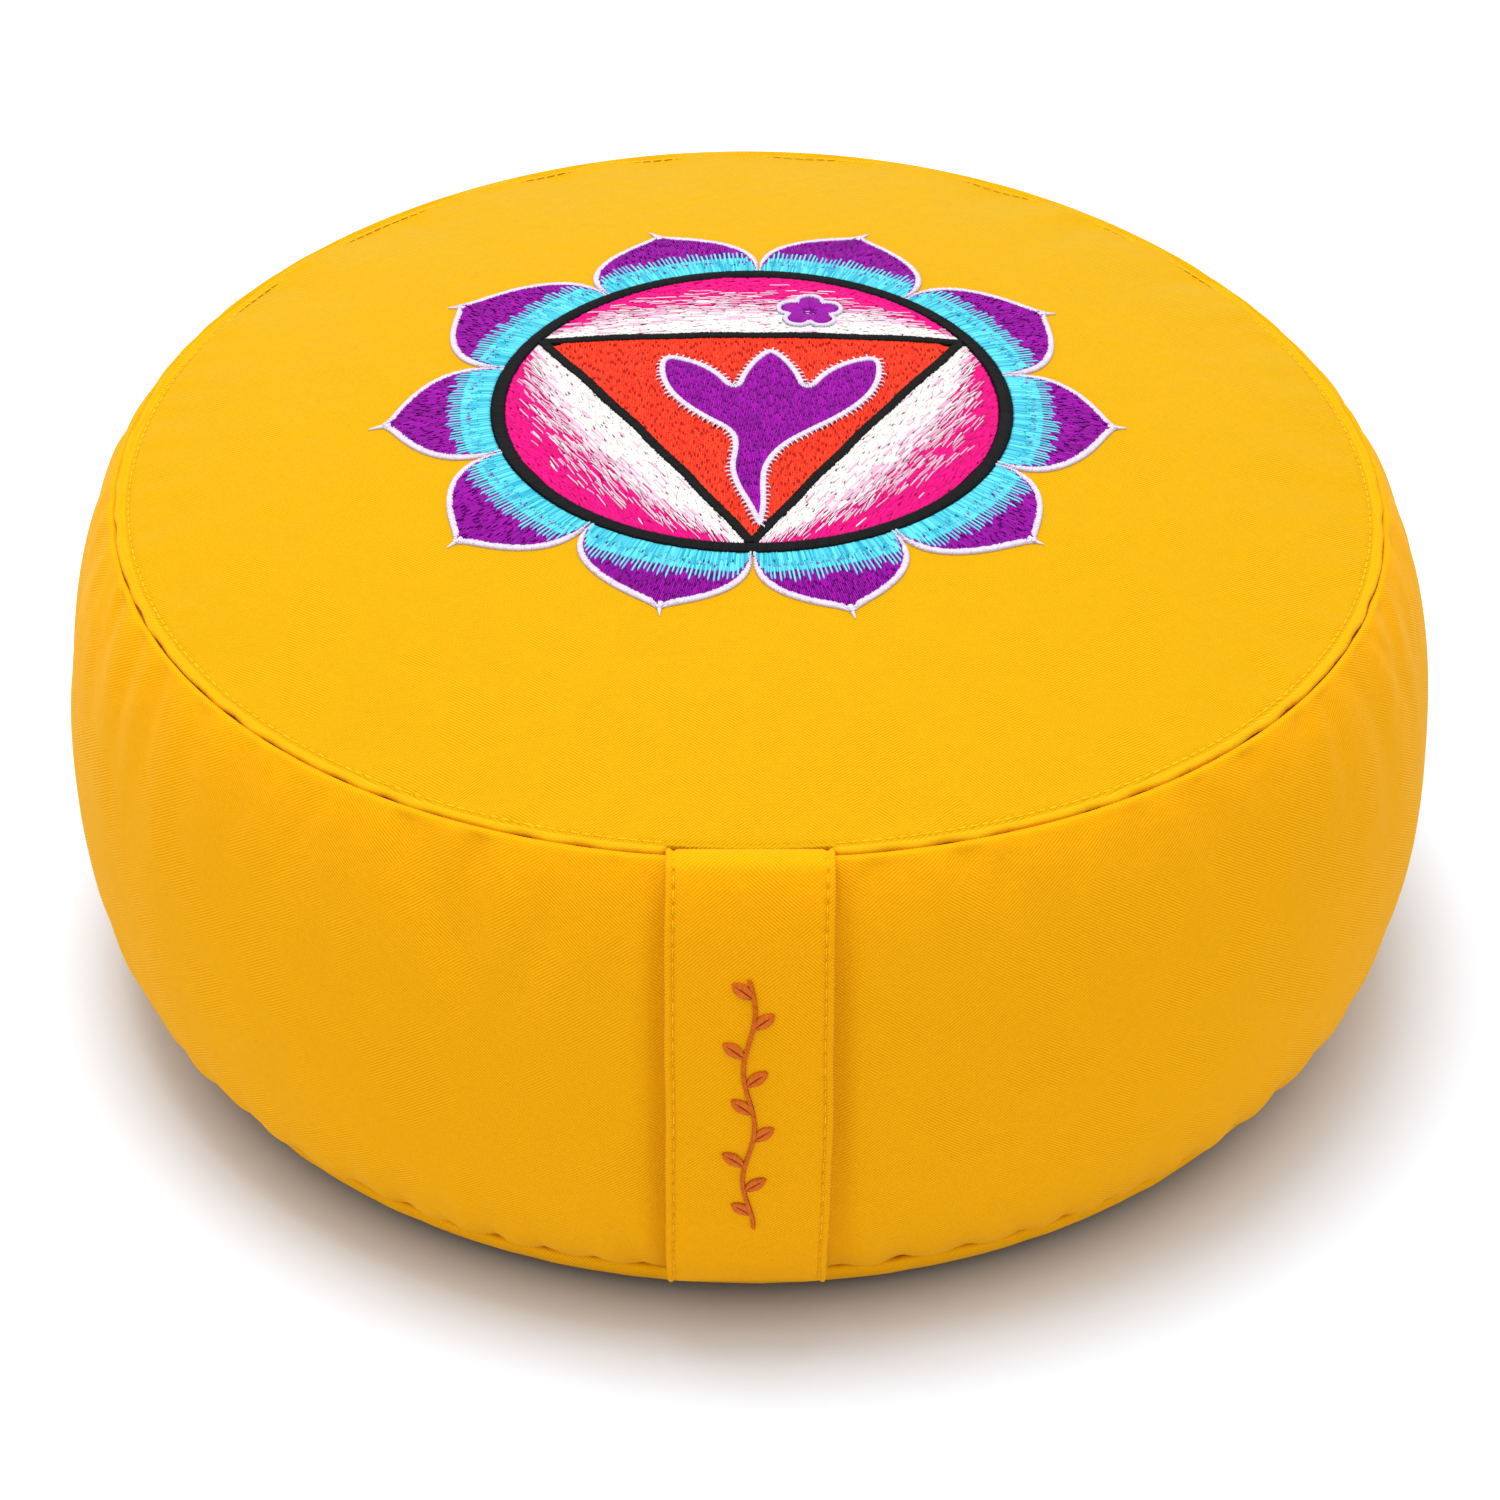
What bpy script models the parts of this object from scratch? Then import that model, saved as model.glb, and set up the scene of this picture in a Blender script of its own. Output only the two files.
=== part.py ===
"""Round floor cushion: a filled side band between two round panels, a carry strap and an embroidered lotus.

Units are metres, +Z is up and the origin is the middle of the flat base. The strap is at the front, on the -Y
side. Angles round the cushion are measured from the front towards +X. Every sewn piece is first made truly round
and is then moved by one shared function, settled(), which gives the seams their unevenness and their tucks.
"""

import math

import bmesh
import bpy
import numpy as np

# ------------------------------------------------------------------ sizes of the stuffed cushion
TOP_SEAM_RADIUS = 0.1504
TOP_SEAM_HEIGHT = 0.1334
BASE_SEAM_RADIUS = 0.1466
BASE_SEAM_HEIGHT = 0.0125
FOOT_RADIUS = 0.1270  # of the flat that the cushion rests on
CROWN_RISE = 0.0181  # of the middle of the top above its seam
CROWN_POWER = 2.2
BAND_BULGE = 0.0165  # of the side beyond its seams, which makes it 330 mm across
BULGE_POWER = 0.55  # under 1, so that the filling rounds the band out close to each seam
BULGE_SKEW = -0.15  # the side is fullest a little below its middle

# ------------------------------------------------------------------ cloth and seams
PANEL_THICKNESS = 0.0016
PIECE_GAP = 0.0003  # between neighbouring pieces
RIDGE_RADIUS = 0.00125  # of the turned and topstitched edge of the top panel
RIDGE_SINK = 0.0008  # how far its middle sits below the seam line
RIDGE_LEAN = math.radians(30)  # from upright towards the outside
GROOVE_INSET = 0.0034  # from the seam to the topstitching
GROOVE_DEPTH = 0.0004
BAND_STEPS = 180
PANEL_STEPS = 120
BASE_STEPS = 60
BAND_ROWS = (0.975, 0.94, 0.88, 0.78, 0.62, 0.44, 0.28, 0.17, 0.09, 0.04, 0.012)  # shares of the height
CROWN_ROWS = (0.0, 0.085, 0.1465)  # radii of the filled body's crown, which the top panel covers
FACE_ROWS = (0.0, 0.040, 0.075, 0.105, 0.128, 0.141)  # radii of the top panel's face
UNDERSIDE_ROWS = (0.1465, 0.120, 0.085, 0.045, 0.0)
RIDGE_TURNS = (140, 95, 50, 5, -40, -85)  # degrees round the ridge, from the face to the underside
BASE_TURNS = (18, 36, 54, 72, 90)  # degrees down the curved edge of the base panel

# ------------------------------------------------------------------ carry strap
STRAP_WIDTH = 0.038
STRAP_THICKNESS = 0.0022
STRAP_CLEARANCE = 0.0005
STRAP_START = (0.1500, 0.1340)  # distance from the axis and height of its sewn-in top end
STRAP_TURN = (0.1515, 0.1338)  # where it turns down over the edge
STRAP_END = (0.1492, 0.0118)
STRAP_EDGE_ROUNDING = 0.0005
STRAP_ROW_STEP = 0.004  # of the band's height, to find its slope at a row
STRAP_ROWS = (0.985, 0.955, 0.91, 0.85, 0.77, 0.68, 0.58, 0.48, 0.38, 0.28, 0.19, 0.12, 0.07, 0.035, 0.012)

# ------------------------------------------------------------------ unevenness of the sewn seams
TUCKS = {  # of the gathered cloth along a seam: how many, how deep, how wide and how long
    "band_top": {"count": 60, "seed": 3, "depth": 0.0016, "width": 0.0042, "reach": 0.022},
    "band_base": {"count": 60, "seed": 8, "depth": 0.0022, "width": 0.0042, "reach": 0.014},
    "panel_rim": {"count": 40, "seed": 5, "depth": 0.0007, "width": 0.0060, "reach": 0.014},
}
TUCK_START = 0.003  # distance from the seam in which a tuck deepens
STRAP_COVER = 0.024  # half width under and beside the strap in which there are no tucks
SEAM_RISE = {"sin1": -0.0005, "cos2": 0.0009, "sin3": 0.0005}
SEAM_SPREAD = {"sin1": -0.0004, "sin2": 0.0013, "cos3": -0.0014}

# ------------------------------------------------------------------ embroidery on the top
MEDALLION_OFFSET = (0.0005, 0.0090)  # its middle lies a little behind the cushion's
RING_OUTER = 0.0625
RING_INNER = 0.0593
RING_STEPS = 72
FRAME_LINE = 0.0017  # width of the triangle's dark outline
THREAD_LIFT = 0.00045  # underside of the stitching above the cloth, which leaves room for flat facets
THREAD_HEIGHT = 0.0006
UPPER_LIFT = 0.00145  # of the flower and the blossom, which are stitched over the fields
PETAL_CORNER = math.radians(17.7)  # half of a petal's share of the ring
PETAL_END = 0.0868
PETAL_POINT = 0.0905  # end of the thin point of thread beyond the petal
PETAL_LEANS = {  # degrees that each petal's point leans aside, as hand-guided stitching does
    "petal_right": -1,
    "petal_back_right": 0,
    "petal_back_middle_right": 0,
    "petal_back_middle_left": -1,
    "petal_back_left": -1,
    "petal_left": 2,
    "petal_front_left": 3,
    "petal_front_middle_left": 3,
    "petal_front_middle_right": -2,
    "petal_front_right": -3,
}
MESH_CELL = 0.025  # largest flat facet of a stitched area
FLOWER_MIDDLE = 0.0045
FLOWER_TOP = 0.0230
FLOWER_CUP = (  # half width and height of the bud's outline, from its middle tip round to its foot
    (0.0040, 0.0180),
    (0.0070, 0.0110),
    (0.0085, 0.0040),
    (0.0125, 0.0120),
    (0.0185, 0.0175),
    (0.0262, 0.0205),
    (0.0270, 0.0110),
    (0.0240, 0.0010),
    (0.0170, -0.0080),
    (0.0095, -0.0145),
)
FLOWER_STEM = (  # height, middle and half width of the stem
    (-0.0210, 0.0015, 0.0058),
    (-0.0290, -0.0010, 0.0045),
    (-0.0370, -0.0005, 0.0036),
    (-0.0450, 0.0012, 0.0022),
)
FLOWER_FOOT = (0.0020, -0.0550)
BLOSSOM_MIDDLE = (0.0140, 0.0410)
BLOSSOM_RADIUS = 0.0062
BLOSSOM_STEPS = 30

FINISHES = {  # colour, with channels from 0 to 255, and roughness
    "panel_cloth": ((252, 196, 33), 0.85),
    "band_cloth": ((239, 166, 18), 0.85),
    "base_cloth": ((239, 166, 18), 0.85),
    "strap_cloth": ((244, 168, 16), 0.85),
    "petal_thread": ((140, 22, 150), 0.5),
    "line_thread": ((28, 28, 30), 0.5),
    "side_field_thread": ((232, 84, 160), 0.5),
    "triangle_thread": ((243, 66, 48), 0.5),
    "flower_thread": ((140, 22, 150), 0.5),
    "blossom_thread": ((140, 22, 150), 0.5),
}


# ------------------------------------------------------------------ the cushion's shape
def crown_height(radius):
    """Height of the top panel's face at a distance from the axis."""
    share = np.clip(radius / TOP_SEAM_RADIUS, 0, 1)
    return TOP_SEAM_HEIGHT + CROWN_RISE * (1 - share**CROWN_POWER)


def band_point(share):
    """(radius, height) of the side band's face, from 0 at the base seam to 1 at the top seam."""
    fullness = (4 * share * (1 - share)) ** BULGE_POWER * (1 + BULGE_SKEW * (2 * share - 1))
    radius = BASE_SEAM_RADIUS + (TOP_SEAM_RADIUS - BASE_SEAM_RADIUS) * share + BAND_BULGE * fullness
    return radius, BASE_SEAM_HEIGHT + (TOP_SEAM_HEIGHT - BASE_SEAM_HEIGHT) * share


def base_point(turn, inset=0.0):
    """(radius, height) of the base panel's curved edge, from 0 degrees at the seam to 90 at the flat foot."""
    reach = BASE_SEAM_RADIUS - FOOT_RADIUS - inset
    rise = BASE_SEAM_HEIGHT - inset
    angle = math.radians(turn)
    return FOOT_RADIUS + reach * math.cos(angle), inset + rise * (1 - math.sin(angle))


def ridge_point(along, out):
    """(radius, height) of a point given along the surface and out from the middle of the top seam's ridge."""
    lean_out, lean_up = math.sin(RIDGE_LEAN), math.cos(RIDGE_LEAN)
    middle_radius = TOP_SEAM_RADIUS - RIDGE_SINK * lean_out
    middle_height = TOP_SEAM_HEIGHT - RIDGE_SINK * lean_up
    return middle_radius + along * lean_up + out * lean_out, middle_height - along * lean_out + out * lean_up


def wave(angle, terms):
    """Sum of the named waves round the cushion, such as {"cos2": size}."""
    total = np.zeros_like(angle)
    for name, size in terms.items():
        turn = np.cos if name.startswith("cos") else np.sin
        total = total + size * turn(int(name[3:]) * angle)
    return total


class Tucks:
    """The small tucks that a gathered cloth makes along a seam, at uneven places, depths and lengths."""

    def __init__(self, count, seed, depth, width, reach):
        chance = np.random.RandomState(seed)
        step = 2 * math.pi / count
        self.places = (np.arange(count) + chance.uniform(-0.3, 0.3, count)) * step
        self.depths = depth * chance.uniform(0.35, 1.0, count)
        self.reaches = reach * chance.uniform(0.6, 1.3, count)
        self.width = width

    def depth_at(self, angle, distance, radius):
        """How far the cloth is drawn in at an angle and a distance from the seam."""
        rise = 1 - np.exp(-distance / TUCK_START)
        total = np.zeros_like(angle)
        for place, depth, reach in zip(self.places, self.depths, self.reaches):
            apart = (angle - place + math.pi) % (2 * math.pi) - math.pi
            across = np.exp(-((apart * radius / self.width) ** 2))
            total = total + depth * across * rise * np.exp(-distance / reach)
        return total


BAND_TOP_TUCKS = Tucks(**TUCKS["band_top"])
BAND_BASE_TUCKS = Tucks(**TUCKS["band_base"])
PANEL_TUCKS = Tucks(**TUCKS["panel_rim"])


def clear_of_strap(x, y):
    """0 under the strap and 1 away from it."""
    beside = 1 - np.exp(-((x / STRAP_COVER) ** 6))
    return np.where(y < 0, beside, 1.0)


def settled(points, tucked=True):
    """The points of a truly round piece, moved to where the sewn and filled cushion has them."""
    x, y, z = points.T
    radius = np.hypot(x, y)
    angle = np.arctan2(x, -y)
    upper = np.clip((z - BASE_SEAM_HEIGHT) / (TOP_SEAM_HEIGHT - BASE_SEAM_HEIGHT), 0, 1)
    upper = upper * upper * (3 - 2 * upper)
    outward = np.clip(radius / TOP_SEAM_RADIUS, 0, 1)
    rise = wave(angle, SEAM_RISE) * upper * outward**2
    spread = wave(angle, SEAM_SPREAD) * upper * outward**3
    if tucked:
        free = clear_of_strap(x, y)
        on_band = (radius > BASE_SEAM_RADIUS) & (z < TOP_SEAM_HEIGHT - RIDGE_RADIUS) & (z > BASE_SEAM_HEIGHT)
        below_top = np.clip(TOP_SEAM_HEIGHT - z, 0, None)
        above_base = np.clip(z - BASE_SEAM_HEIGHT, 0, None)
        drawn_in = BAND_TOP_TUCKS.depth_at(angle, below_top, TOP_SEAM_RADIUS)
        drawn_in = drawn_in + BAND_BASE_TUCKS.depth_at(angle, above_base, BASE_SEAM_RADIUS)
        spread = spread - np.where(on_band, drawn_in, 0) * free
        inside = np.clip(TOP_SEAM_RADIUS - GROOVE_INSET - radius, 0, None)
        on_top = (radius < TOP_SEAM_RADIUS - GROOVE_INSET) & (upper > 0.9)
        rise = rise - np.where(on_top, PANEL_TUCKS.depth_at(angle, inside, TOP_SEAM_RADIUS), 0) * free
    moved = radius + spread
    return np.stack([moved * np.sin(angle), -moved * np.cos(angle), z + rise], axis=1)


# ------------------------------------------------------------------ making objects
def clear_scene():
    for thing in list(bpy.data.objects):
        bpy.data.objects.remove(thing)


def collection_named(name):
    group = bpy.data.collections.new(name)
    bpy.context.scene.collection.children.link(group)
    return group


def linear(channel):
    """A colour channel from 0 to 255, as light."""
    share = channel / 255
    return share / 12.92 if share <= 0.04045 else ((share + 0.055) / 1.055) ** 2.4


def finish_named(name):
    """A material with the colour and roughness of one of the finishes."""
    colour, roughness = FINISHES[name]
    material = bpy.data.materials.new(name)
    material.use_nodes = True
    shader = material.node_tree.nodes["Principled BSDF"]
    shader.inputs["Base Color"].default_value = (*map(linear, colour), 1)
    shader.inputs["Roughness"].default_value = roughness
    shader.inputs["Metallic"].default_value = 0.0
    return material


def mesh_of(source):
    """A mesh object with the evaluated shape of a curve or of an object with modifiers, which it replaces."""
    graph = bpy.context.evaluated_depsgraph_get()
    mesh = bpy.data.meshes.new_from_object(source.evaluated_get(graph))
    name, matrix = source.name, source.matrix_world.copy()
    bpy.data.objects.remove(source)
    made = bpy.data.objects.new(name, mesh)
    made.matrix_world = matrix
    bpy.context.scene.collection.objects.link(made)
    return made


def move_points(piece, move):
    """Moves all of a mesh object's points by a function of their places."""
    mesh = piece.data
    places = np.empty(len(mesh.vertices) * 3)
    mesh.vertices.foreach_get("co", places)
    mesh.vertices.foreach_set("co", move(places.reshape(-1, 3)).ravel())
    mesh.update()


def finish_piece(piece, group, material):
    """Puts a piece in its collection, with its material and smooth faces."""
    for holder in list(piece.users_collection):
        holder.objects.unlink(piece)
    group.objects.link(piece)
    piece.data.materials.clear()
    piece.data.materials.append(material)
    piece.data.shade_smooth()
    piece.data.set_sharp_from_angle(angle=math.radians(40))
    return piece


def turned(name, profile, steps):
    """A solid turned about the axis. Its profile starts and ends on the axis and runs down its outer side."""
    mesh = bpy.data.meshes.new(name)
    edges = [(i, i + 1) for i in range(len(profile) - 1)]
    mesh.from_pydata([(radius, 0, height) for radius, height in profile], edges, [])
    piece = bpy.data.objects.new(name, mesh)
    bpy.context.scene.collection.objects.link(piece)
    screw = piece.modifiers.new("Turn", "SCREW")
    screw.axis = "Z"
    screw.steps = screw.render_steps = steps
    screw.use_merge_vertices = True
    screw.merge_threshold = 0.00005
    return mesh_of(piece)


def flat_outline(name, loops, half_thickness):
    """A flat solid in the XY plane. The first loop is its outline and the others are its holes."""
    curve = bpy.data.curves.new(name, "CURVE")
    curve.dimensions = "2D"
    curve.fill_mode = "BOTH"
    curve.extrude = half_thickness
    for loop in loops:
        spline = curve.splines.new("POLY")
        spline.points.add(len(loop) - 1)
        for point, (x, y) in zip(spline.points, loop):
            point.co = (x, y, 0, 1)
        spline.use_cyclic_u = True
    piece = bpy.data.objects.new(name, curve)
    bpy.context.scene.collection.objects.link(piece)
    piece = mesh_of(piece)
    work = bmesh.new()
    work.from_mesh(piece.data)
    bmesh.ops.remove_doubles(work, verts=work.verts, dist=1e-6)
    bmesh.ops.dissolve_limit(work, angle_limit=math.radians(0.5), verts=work.verts, edges=work.edges)
    work.to_mesh(piece.data)
    work.free()
    return piece


def cut_in_cells(piece, size):
    """Cuts a flat solid's faces on a square grid, so that it can be bent over the crown."""
    work = bmesh.new()
    work.from_mesh(piece.data)
    for axis in ((1, 0, 0), (0, 1, 0)):
        places = [v.co.dot(axis) for v in work.verts]
        first, last = math.ceil(min(places) / size), math.floor(max(places) / size)
        for line in range(first, last + 1):
            everything = work.verts[:] + work.edges[:] + work.faces[:]
            on_line = tuple(c * (line * size + size / 2) for c in axis)
            bmesh.ops.bisect_plane(work, geom=everything, dist=1e-7, plane_co=on_line, plane_no=axis)
    work.to_mesh(piece.data)
    work.free()


# ------------------------------------------------------------------ the sewn pieces
def side_band(group, material):
    """The filled body: the side band's face, with the crown and the foot that the two panels cover."""
    drop = PANEL_THICKNESS + PIECE_GAP
    crown = [(radius, float(crown_height(radius)) - drop) for radius in CROWN_ROWS]
    under_ridge = -(RIDGE_RADIUS + PIECE_GAP)
    seam = [ridge_point(-0.0002, under_ridge), ridge_point(0.0019, -0.0009)]  # it passes under the ridge
    face = [band_point(share) for share in BAND_ROWS]
    base_edge = (BASE_SEAM_RADIUS, BASE_SEAM_HEIGHT + PIECE_GAP)
    foot = [base_point(turn, PANEL_THICKNESS + PIECE_GAP) for turn in (0, 55, 90)]
    foot[0] = (foot[0][0], base_edge[1])
    profile = crown + seam + face + [base_edge] + foot + [(0.0, foot[-1][1])]
    piece = turned("side_band", profile, BAND_STEPS)
    move_points(piece, settled)
    return finish_piece(piece, group, material)


def top_panel(group, material, helpers):
    """The round top cloth with its turned, topstitched edge, which stops each side of the strap."""
    face = [(radius, float(crown_height(radius))) for radius in FACE_ROWS]
    groove_radius = TOP_SEAM_RADIUS - GROOVE_INSET
    groove = [(groove_radius, float(crown_height(groove_radius)) - GROOVE_DEPTH)]
    ridge = []
    for turn in RIDGE_TURNS:
        angle = math.radians(turn)
        ridge.append(ridge_point(RIDGE_RADIUS * math.cos(angle), RIDGE_RADIUS * math.sin(angle)))
    underside = [(radius, float(crown_height(radius)) - PANEL_THICKNESS) for radius in UNDERSIDE_ROWS]
    piece = turned("top_panel", face + groove + ridge + underside, PANEL_STEPS)
    move_points(piece, settled)
    cut_strap_notch(piece, helpers)
    return finish_piece(piece, group, material)


def cut_strap_notch(piece, helpers):
    """Takes the turned edge away where the strap is sewn in."""
    width = STRAP_WIDTH + 4 * PIECE_GAP
    depth, height = 0.010, 0.012  # well past the ridge on every side
    strap_end = settled(np.array([[0, -STRAP_START[0], STRAP_START[1]]]), tucked=False)[0]
    middle_y = strap_end[1] + PIECE_GAP - depth / 2
    bpy.ops.mesh.primitive_cube_add(size=1, location=(0, middle_y, TOP_SEAM_HEIGHT))
    cutter = bpy.context.object
    cutter.name = "strap_notch_cutter"
    cutter.scale = (width, depth, height)
    bpy.ops.object.transform_apply(location=False, rotation=False, scale=True)
    cutter.hide_render = True
    cutter.display_type = "WIRE"
    for holder in list(cutter.users_collection):
        holder.objects.unlink(cutter)
    helpers.objects.link(cutter)
    notch = piece.modifiers.new("Strap notch", "BOOLEAN")
    notch.operation = "DIFFERENCE"
    notch.object = cutter


def bottom_panel(group, material):
    """The round base cloth: a flat foot with an edge that turns up to the base seam."""
    outer = [(BASE_SEAM_RADIUS - PIECE_GAP, BASE_SEAM_HEIGHT)] + [base_point(turn) for turn in BASE_TURNS]
    inner = [base_point(turn, PANEL_THICKNESS) for turn in (90, 55, 0)]
    inner[-1] = (inner[-1][0], BASE_SEAM_HEIGHT)
    profile = [(0.0, PANEL_THICKNESS)] + inner + outer + [(0.0, 0.0)]
    piece = turned("bottom_panel", profile, BASE_STEPS)
    return finish_piece(piece, group, material)


def strap_centreline():
    """(distance from the axis, height) along the strap, from its sewn-in top end to the base seam."""
    offset = STRAP_CLEARANCE + STRAP_THICKNESS / 2
    line = [STRAP_START, STRAP_TURN]
    for share in STRAP_ROWS:
        before, after = band_point(share + STRAP_ROW_STEP), band_point(share - STRAP_ROW_STEP)
        down = (after[0] - before[0], after[1] - before[1])
        length = math.hypot(*down)
        radius, height = band_point(share)
        line.append((radius - down[1] / length * offset, height + down[0] / length * offset))
    line.append(STRAP_END)
    return line


def carry_strap(group, material):
    """The flat doubled strap: its side view, extruded to the strap's width, with rounded edges."""
    line = np.array(strap_centreline())
    run = np.gradient(line, axis=0)
    run = run / np.linalg.norm(run, axis=1)[:, None]
    away = np.stack([-run[:, 1], run[:, 0]], axis=1) * STRAP_THICKNESS / 2
    outside, inside = line + away, line - away
    loop = [(-radius, height) for radius, height in np.vstack([outside, inside[::-1]])]
    piece = flat_outline("carry_strap", [loop], STRAP_WIDTH / 2)
    # The outline is drawn with the front to the left, and is stood up so that the strap's width lies along X.
    move_points(piece, lambda places: np.stack([places[:, 2], places[:, 0], places[:, 1]], axis=1))
    move_points(piece, settled_strap)
    bevel = piece.modifiers.new("Soft edges", "BEVEL")
    bevel.width = STRAP_EDGE_ROUNDING
    bevel.segments = 1
    bevel.limit_method = "ANGLE"
    bevel.angle_limit = math.radians(60)
    return finish_piece(piece, group, material)


def settled_strap(places):
    """The strap, moved as the seam at its middle is, so that it stays flat across."""
    middle = places * (0, 1, 1)
    return places + settled(middle, tucked=False) - middle


# ------------------------------------------------------------------ the embroidered lotus
def arc(radius, first, last, count):
    """Points on a circle round the medallion's middle. Angles are in radians from +X."""
    return [(radius * math.cos(a), radius * math.sin(a)) for a in np.linspace(first, last, count)]


def turned_loop(loop, angle):
    cosine, sine = math.cos(angle), math.sin(angle)
    return [(x * cosine - y * sine, x * sine + y * cosine) for x, y in loop]


def segment_loop(radius, chord, count):
    """The part of a circle beyond a chord at that distance from its middle, facing +X."""
    half = math.acos(chord / radius)
    return arc(radius, -half, half, count)


def triangle_loop(inner_radius):
    """An equal-sided triangle that points to the front, with that distance from its middle to its sides."""
    return arc(2 * inner_radius, math.radians(-90), math.radians(150), 3)


def petal_loop(lean):
    """One petal along +X: its foot on the ring, its rounded sides and its thin point, which leans aside."""
    foot = arc(RING_OUTER + PIECE_GAP, PETAL_CORNER, -PETAL_CORNER, 7)
    corner, half_width = foot[-1][0], -foot[-1][1]
    lower, upper = [], []
    for share in (0.10, 0.24, 0.40, 0.56, 0.71, 0.85, 0.95):
        width = half_width * (1 - share**2) ** 0.9 * (1 + 0.7 * share * (1 - share) ** 1.5)
        along = corner + (PETAL_END - corner) * share
        aside = along * math.tan(lean) * share**1.5
        lower.append((along, aside - width))
        upper.append((along, aside + width))
    point = (PETAL_POINT * math.cos(lean), PETAL_POINT * math.sin(lean))
    return foot + lower + [point] + upper[::-1]


def flower_loop():
    """A bud of three petals on a curved stem that runs down to a point, its tips to the back."""
    right, left = [], []
    for half_width, height in FLOWER_CUP:
        right.append((FLOWER_MIDDLE + half_width, height))
        left.append((FLOWER_MIDDLE - half_width, height))
    for height, middle, half_width in FLOWER_STEM:
        right.append((middle + half_width, height))
        left.append((middle - half_width, height))
    return [(FLOWER_MIDDLE, FLOWER_TOP)] + right + [FLOWER_FOOT] + left[::-1]


def blossom_loop():
    """A small round blossom with five petals."""
    middle_x, middle_y = BLOSSOM_MIDDLE
    loop = []
    for step in range(BLOSSOM_STEPS):
        angle = 2 * math.pi * step / BLOSSOM_STEPS
        radius = BLOSSOM_RADIUS * (1 + 0.20 * math.cos(5 * (angle - math.pi / 2)))
        loop.append((middle_x + radius * math.cos(angle), middle_y + radius * math.sin(angle)))
    return loop


def stitched_area(name, loops, lift, group, material):
    """A closed pad of stitching that lies on the crown, lifted off the cloth or off the stitching below it."""
    piece = flat_outline(name, loops, THREAD_HEIGHT / 2)
    cut_in_cells(piece, MESH_CELL)

    def on_crown(places):
        x = places[:, 0] + MEDALLION_OFFSET[0]
        y = places[:, 1] + MEDALLION_OFFSET[1]
        height = crown_height(np.hypot(x, y)) + lift + THREAD_HEIGHT / 2 + places[:, 2]
        return settled(np.stack([x, y, height], axis=1))

    move_points(piece, on_crown)
    return finish_piece(piece, group, material)


def embroidery(group, materials):
    """Ten petals round a ring, with a triangle, its three side fields, a flower and a small blossom."""
    for number, (name, lean) in enumerate(PETAL_LEANS.items()):
        loop = turned_loop(petal_loop(math.radians(lean)), 2 * math.pi * number / len(PETAL_LEANS))
        stitched_area(name, [loop], THREAD_LIFT, group, materials["petal_thread"])
    chord = RING_INNER / 2
    toward_sides = [math.radians(a) for a in (90, 210, 330)]
    holes = [turned_loop(segment_loop(RING_INNER, chord + FRAME_LINE / 2, 15), a) for a in toward_sides]
    holes.append(triangle_loop(chord - FRAME_LINE / 2))
    outline = arc(RING_OUTER, 0, 2 * math.pi * (1 - 1 / RING_STEPS), RING_STEPS)
    stitched_area("ring_and_triangle_line", [outline] + holes, THREAD_LIFT, group, materials["line_thread"])
    for place, angle in zip(("back", "left", "right"), toward_sides):
        field = segment_loop(RING_INNER - PIECE_GAP, chord + FRAME_LINE / 2 + PIECE_GAP, 15)
        field = turned_loop(field, angle)
        stitched_area(f"side_field_{place}", [field], THREAD_LIFT, group, materials["side_field_thread"])
    inner = triangle_loop(chord - FRAME_LINE / 2 - PIECE_GAP)
    stitched_area("triangle_field", [inner], THREAD_LIFT, group, materials["triangle_thread"])
    stitched_area("flower", [flower_loop()], UPPER_LIFT, group, materials["flower_thread"])
    stitched_area("blossom", [blossom_loop()], UPPER_LIFT, group, materials["blossom_thread"])


def main():
    clear_scene()
    cushion = collection_named("Meditation cushion")
    helpers = collection_named("Cutters")
    materials = {name: finish_named(name) for name in FINISHES}
    side_band(cushion, materials["band_cloth"])
    top_panel(cushion, materials["panel_cloth"], helpers)
    bottom_panel(cushion, materials["base_cloth"])
    carry_strap(cushion, materials["strap_cloth"])
    embroidery(cushion, materials)


main()
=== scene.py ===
"""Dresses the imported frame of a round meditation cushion: its cloth, its stitching and its embroidered lotus.

Units are metres, +Z is up and the strap is at the front, on the -Y side. The named sizes of the cushion's
shape repeat those of its solids, so that each dressed piece lies where its solid does. Angles round the
cushion are measured from the front towards +X, and angles on the lotus from +X.
"""

from __future__ import annotations

import logging
import math
from collections.abc import Callable, Sequence
from dataclasses import dataclass, field
from enum import Enum
from functools import cache

import bpy
import numpy as np
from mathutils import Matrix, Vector, geometry


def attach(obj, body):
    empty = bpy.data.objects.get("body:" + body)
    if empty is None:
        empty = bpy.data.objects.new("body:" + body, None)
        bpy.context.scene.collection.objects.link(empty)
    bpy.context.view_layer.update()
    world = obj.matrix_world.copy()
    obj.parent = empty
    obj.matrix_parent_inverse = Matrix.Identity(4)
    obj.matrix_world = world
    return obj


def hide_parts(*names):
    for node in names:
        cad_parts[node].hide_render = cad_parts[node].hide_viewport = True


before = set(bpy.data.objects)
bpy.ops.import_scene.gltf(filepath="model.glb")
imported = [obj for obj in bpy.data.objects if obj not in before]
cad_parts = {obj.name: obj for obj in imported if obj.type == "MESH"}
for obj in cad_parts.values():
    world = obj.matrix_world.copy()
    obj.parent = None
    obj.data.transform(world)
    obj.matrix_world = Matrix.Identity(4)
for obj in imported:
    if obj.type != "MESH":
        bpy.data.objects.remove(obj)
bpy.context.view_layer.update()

BODY = "root"
TAU = 2 * math.pi
CLOTH_MAP = "Cloth"  # the map that gives a place on a cloth in metres
THREAD_MAP = "Thread"  # the map that gives a place along and across a thread in metres
TONE = "tone"  # how light each stitch is, from 0 to 1

log = logging.getLogger("cushion")

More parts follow.
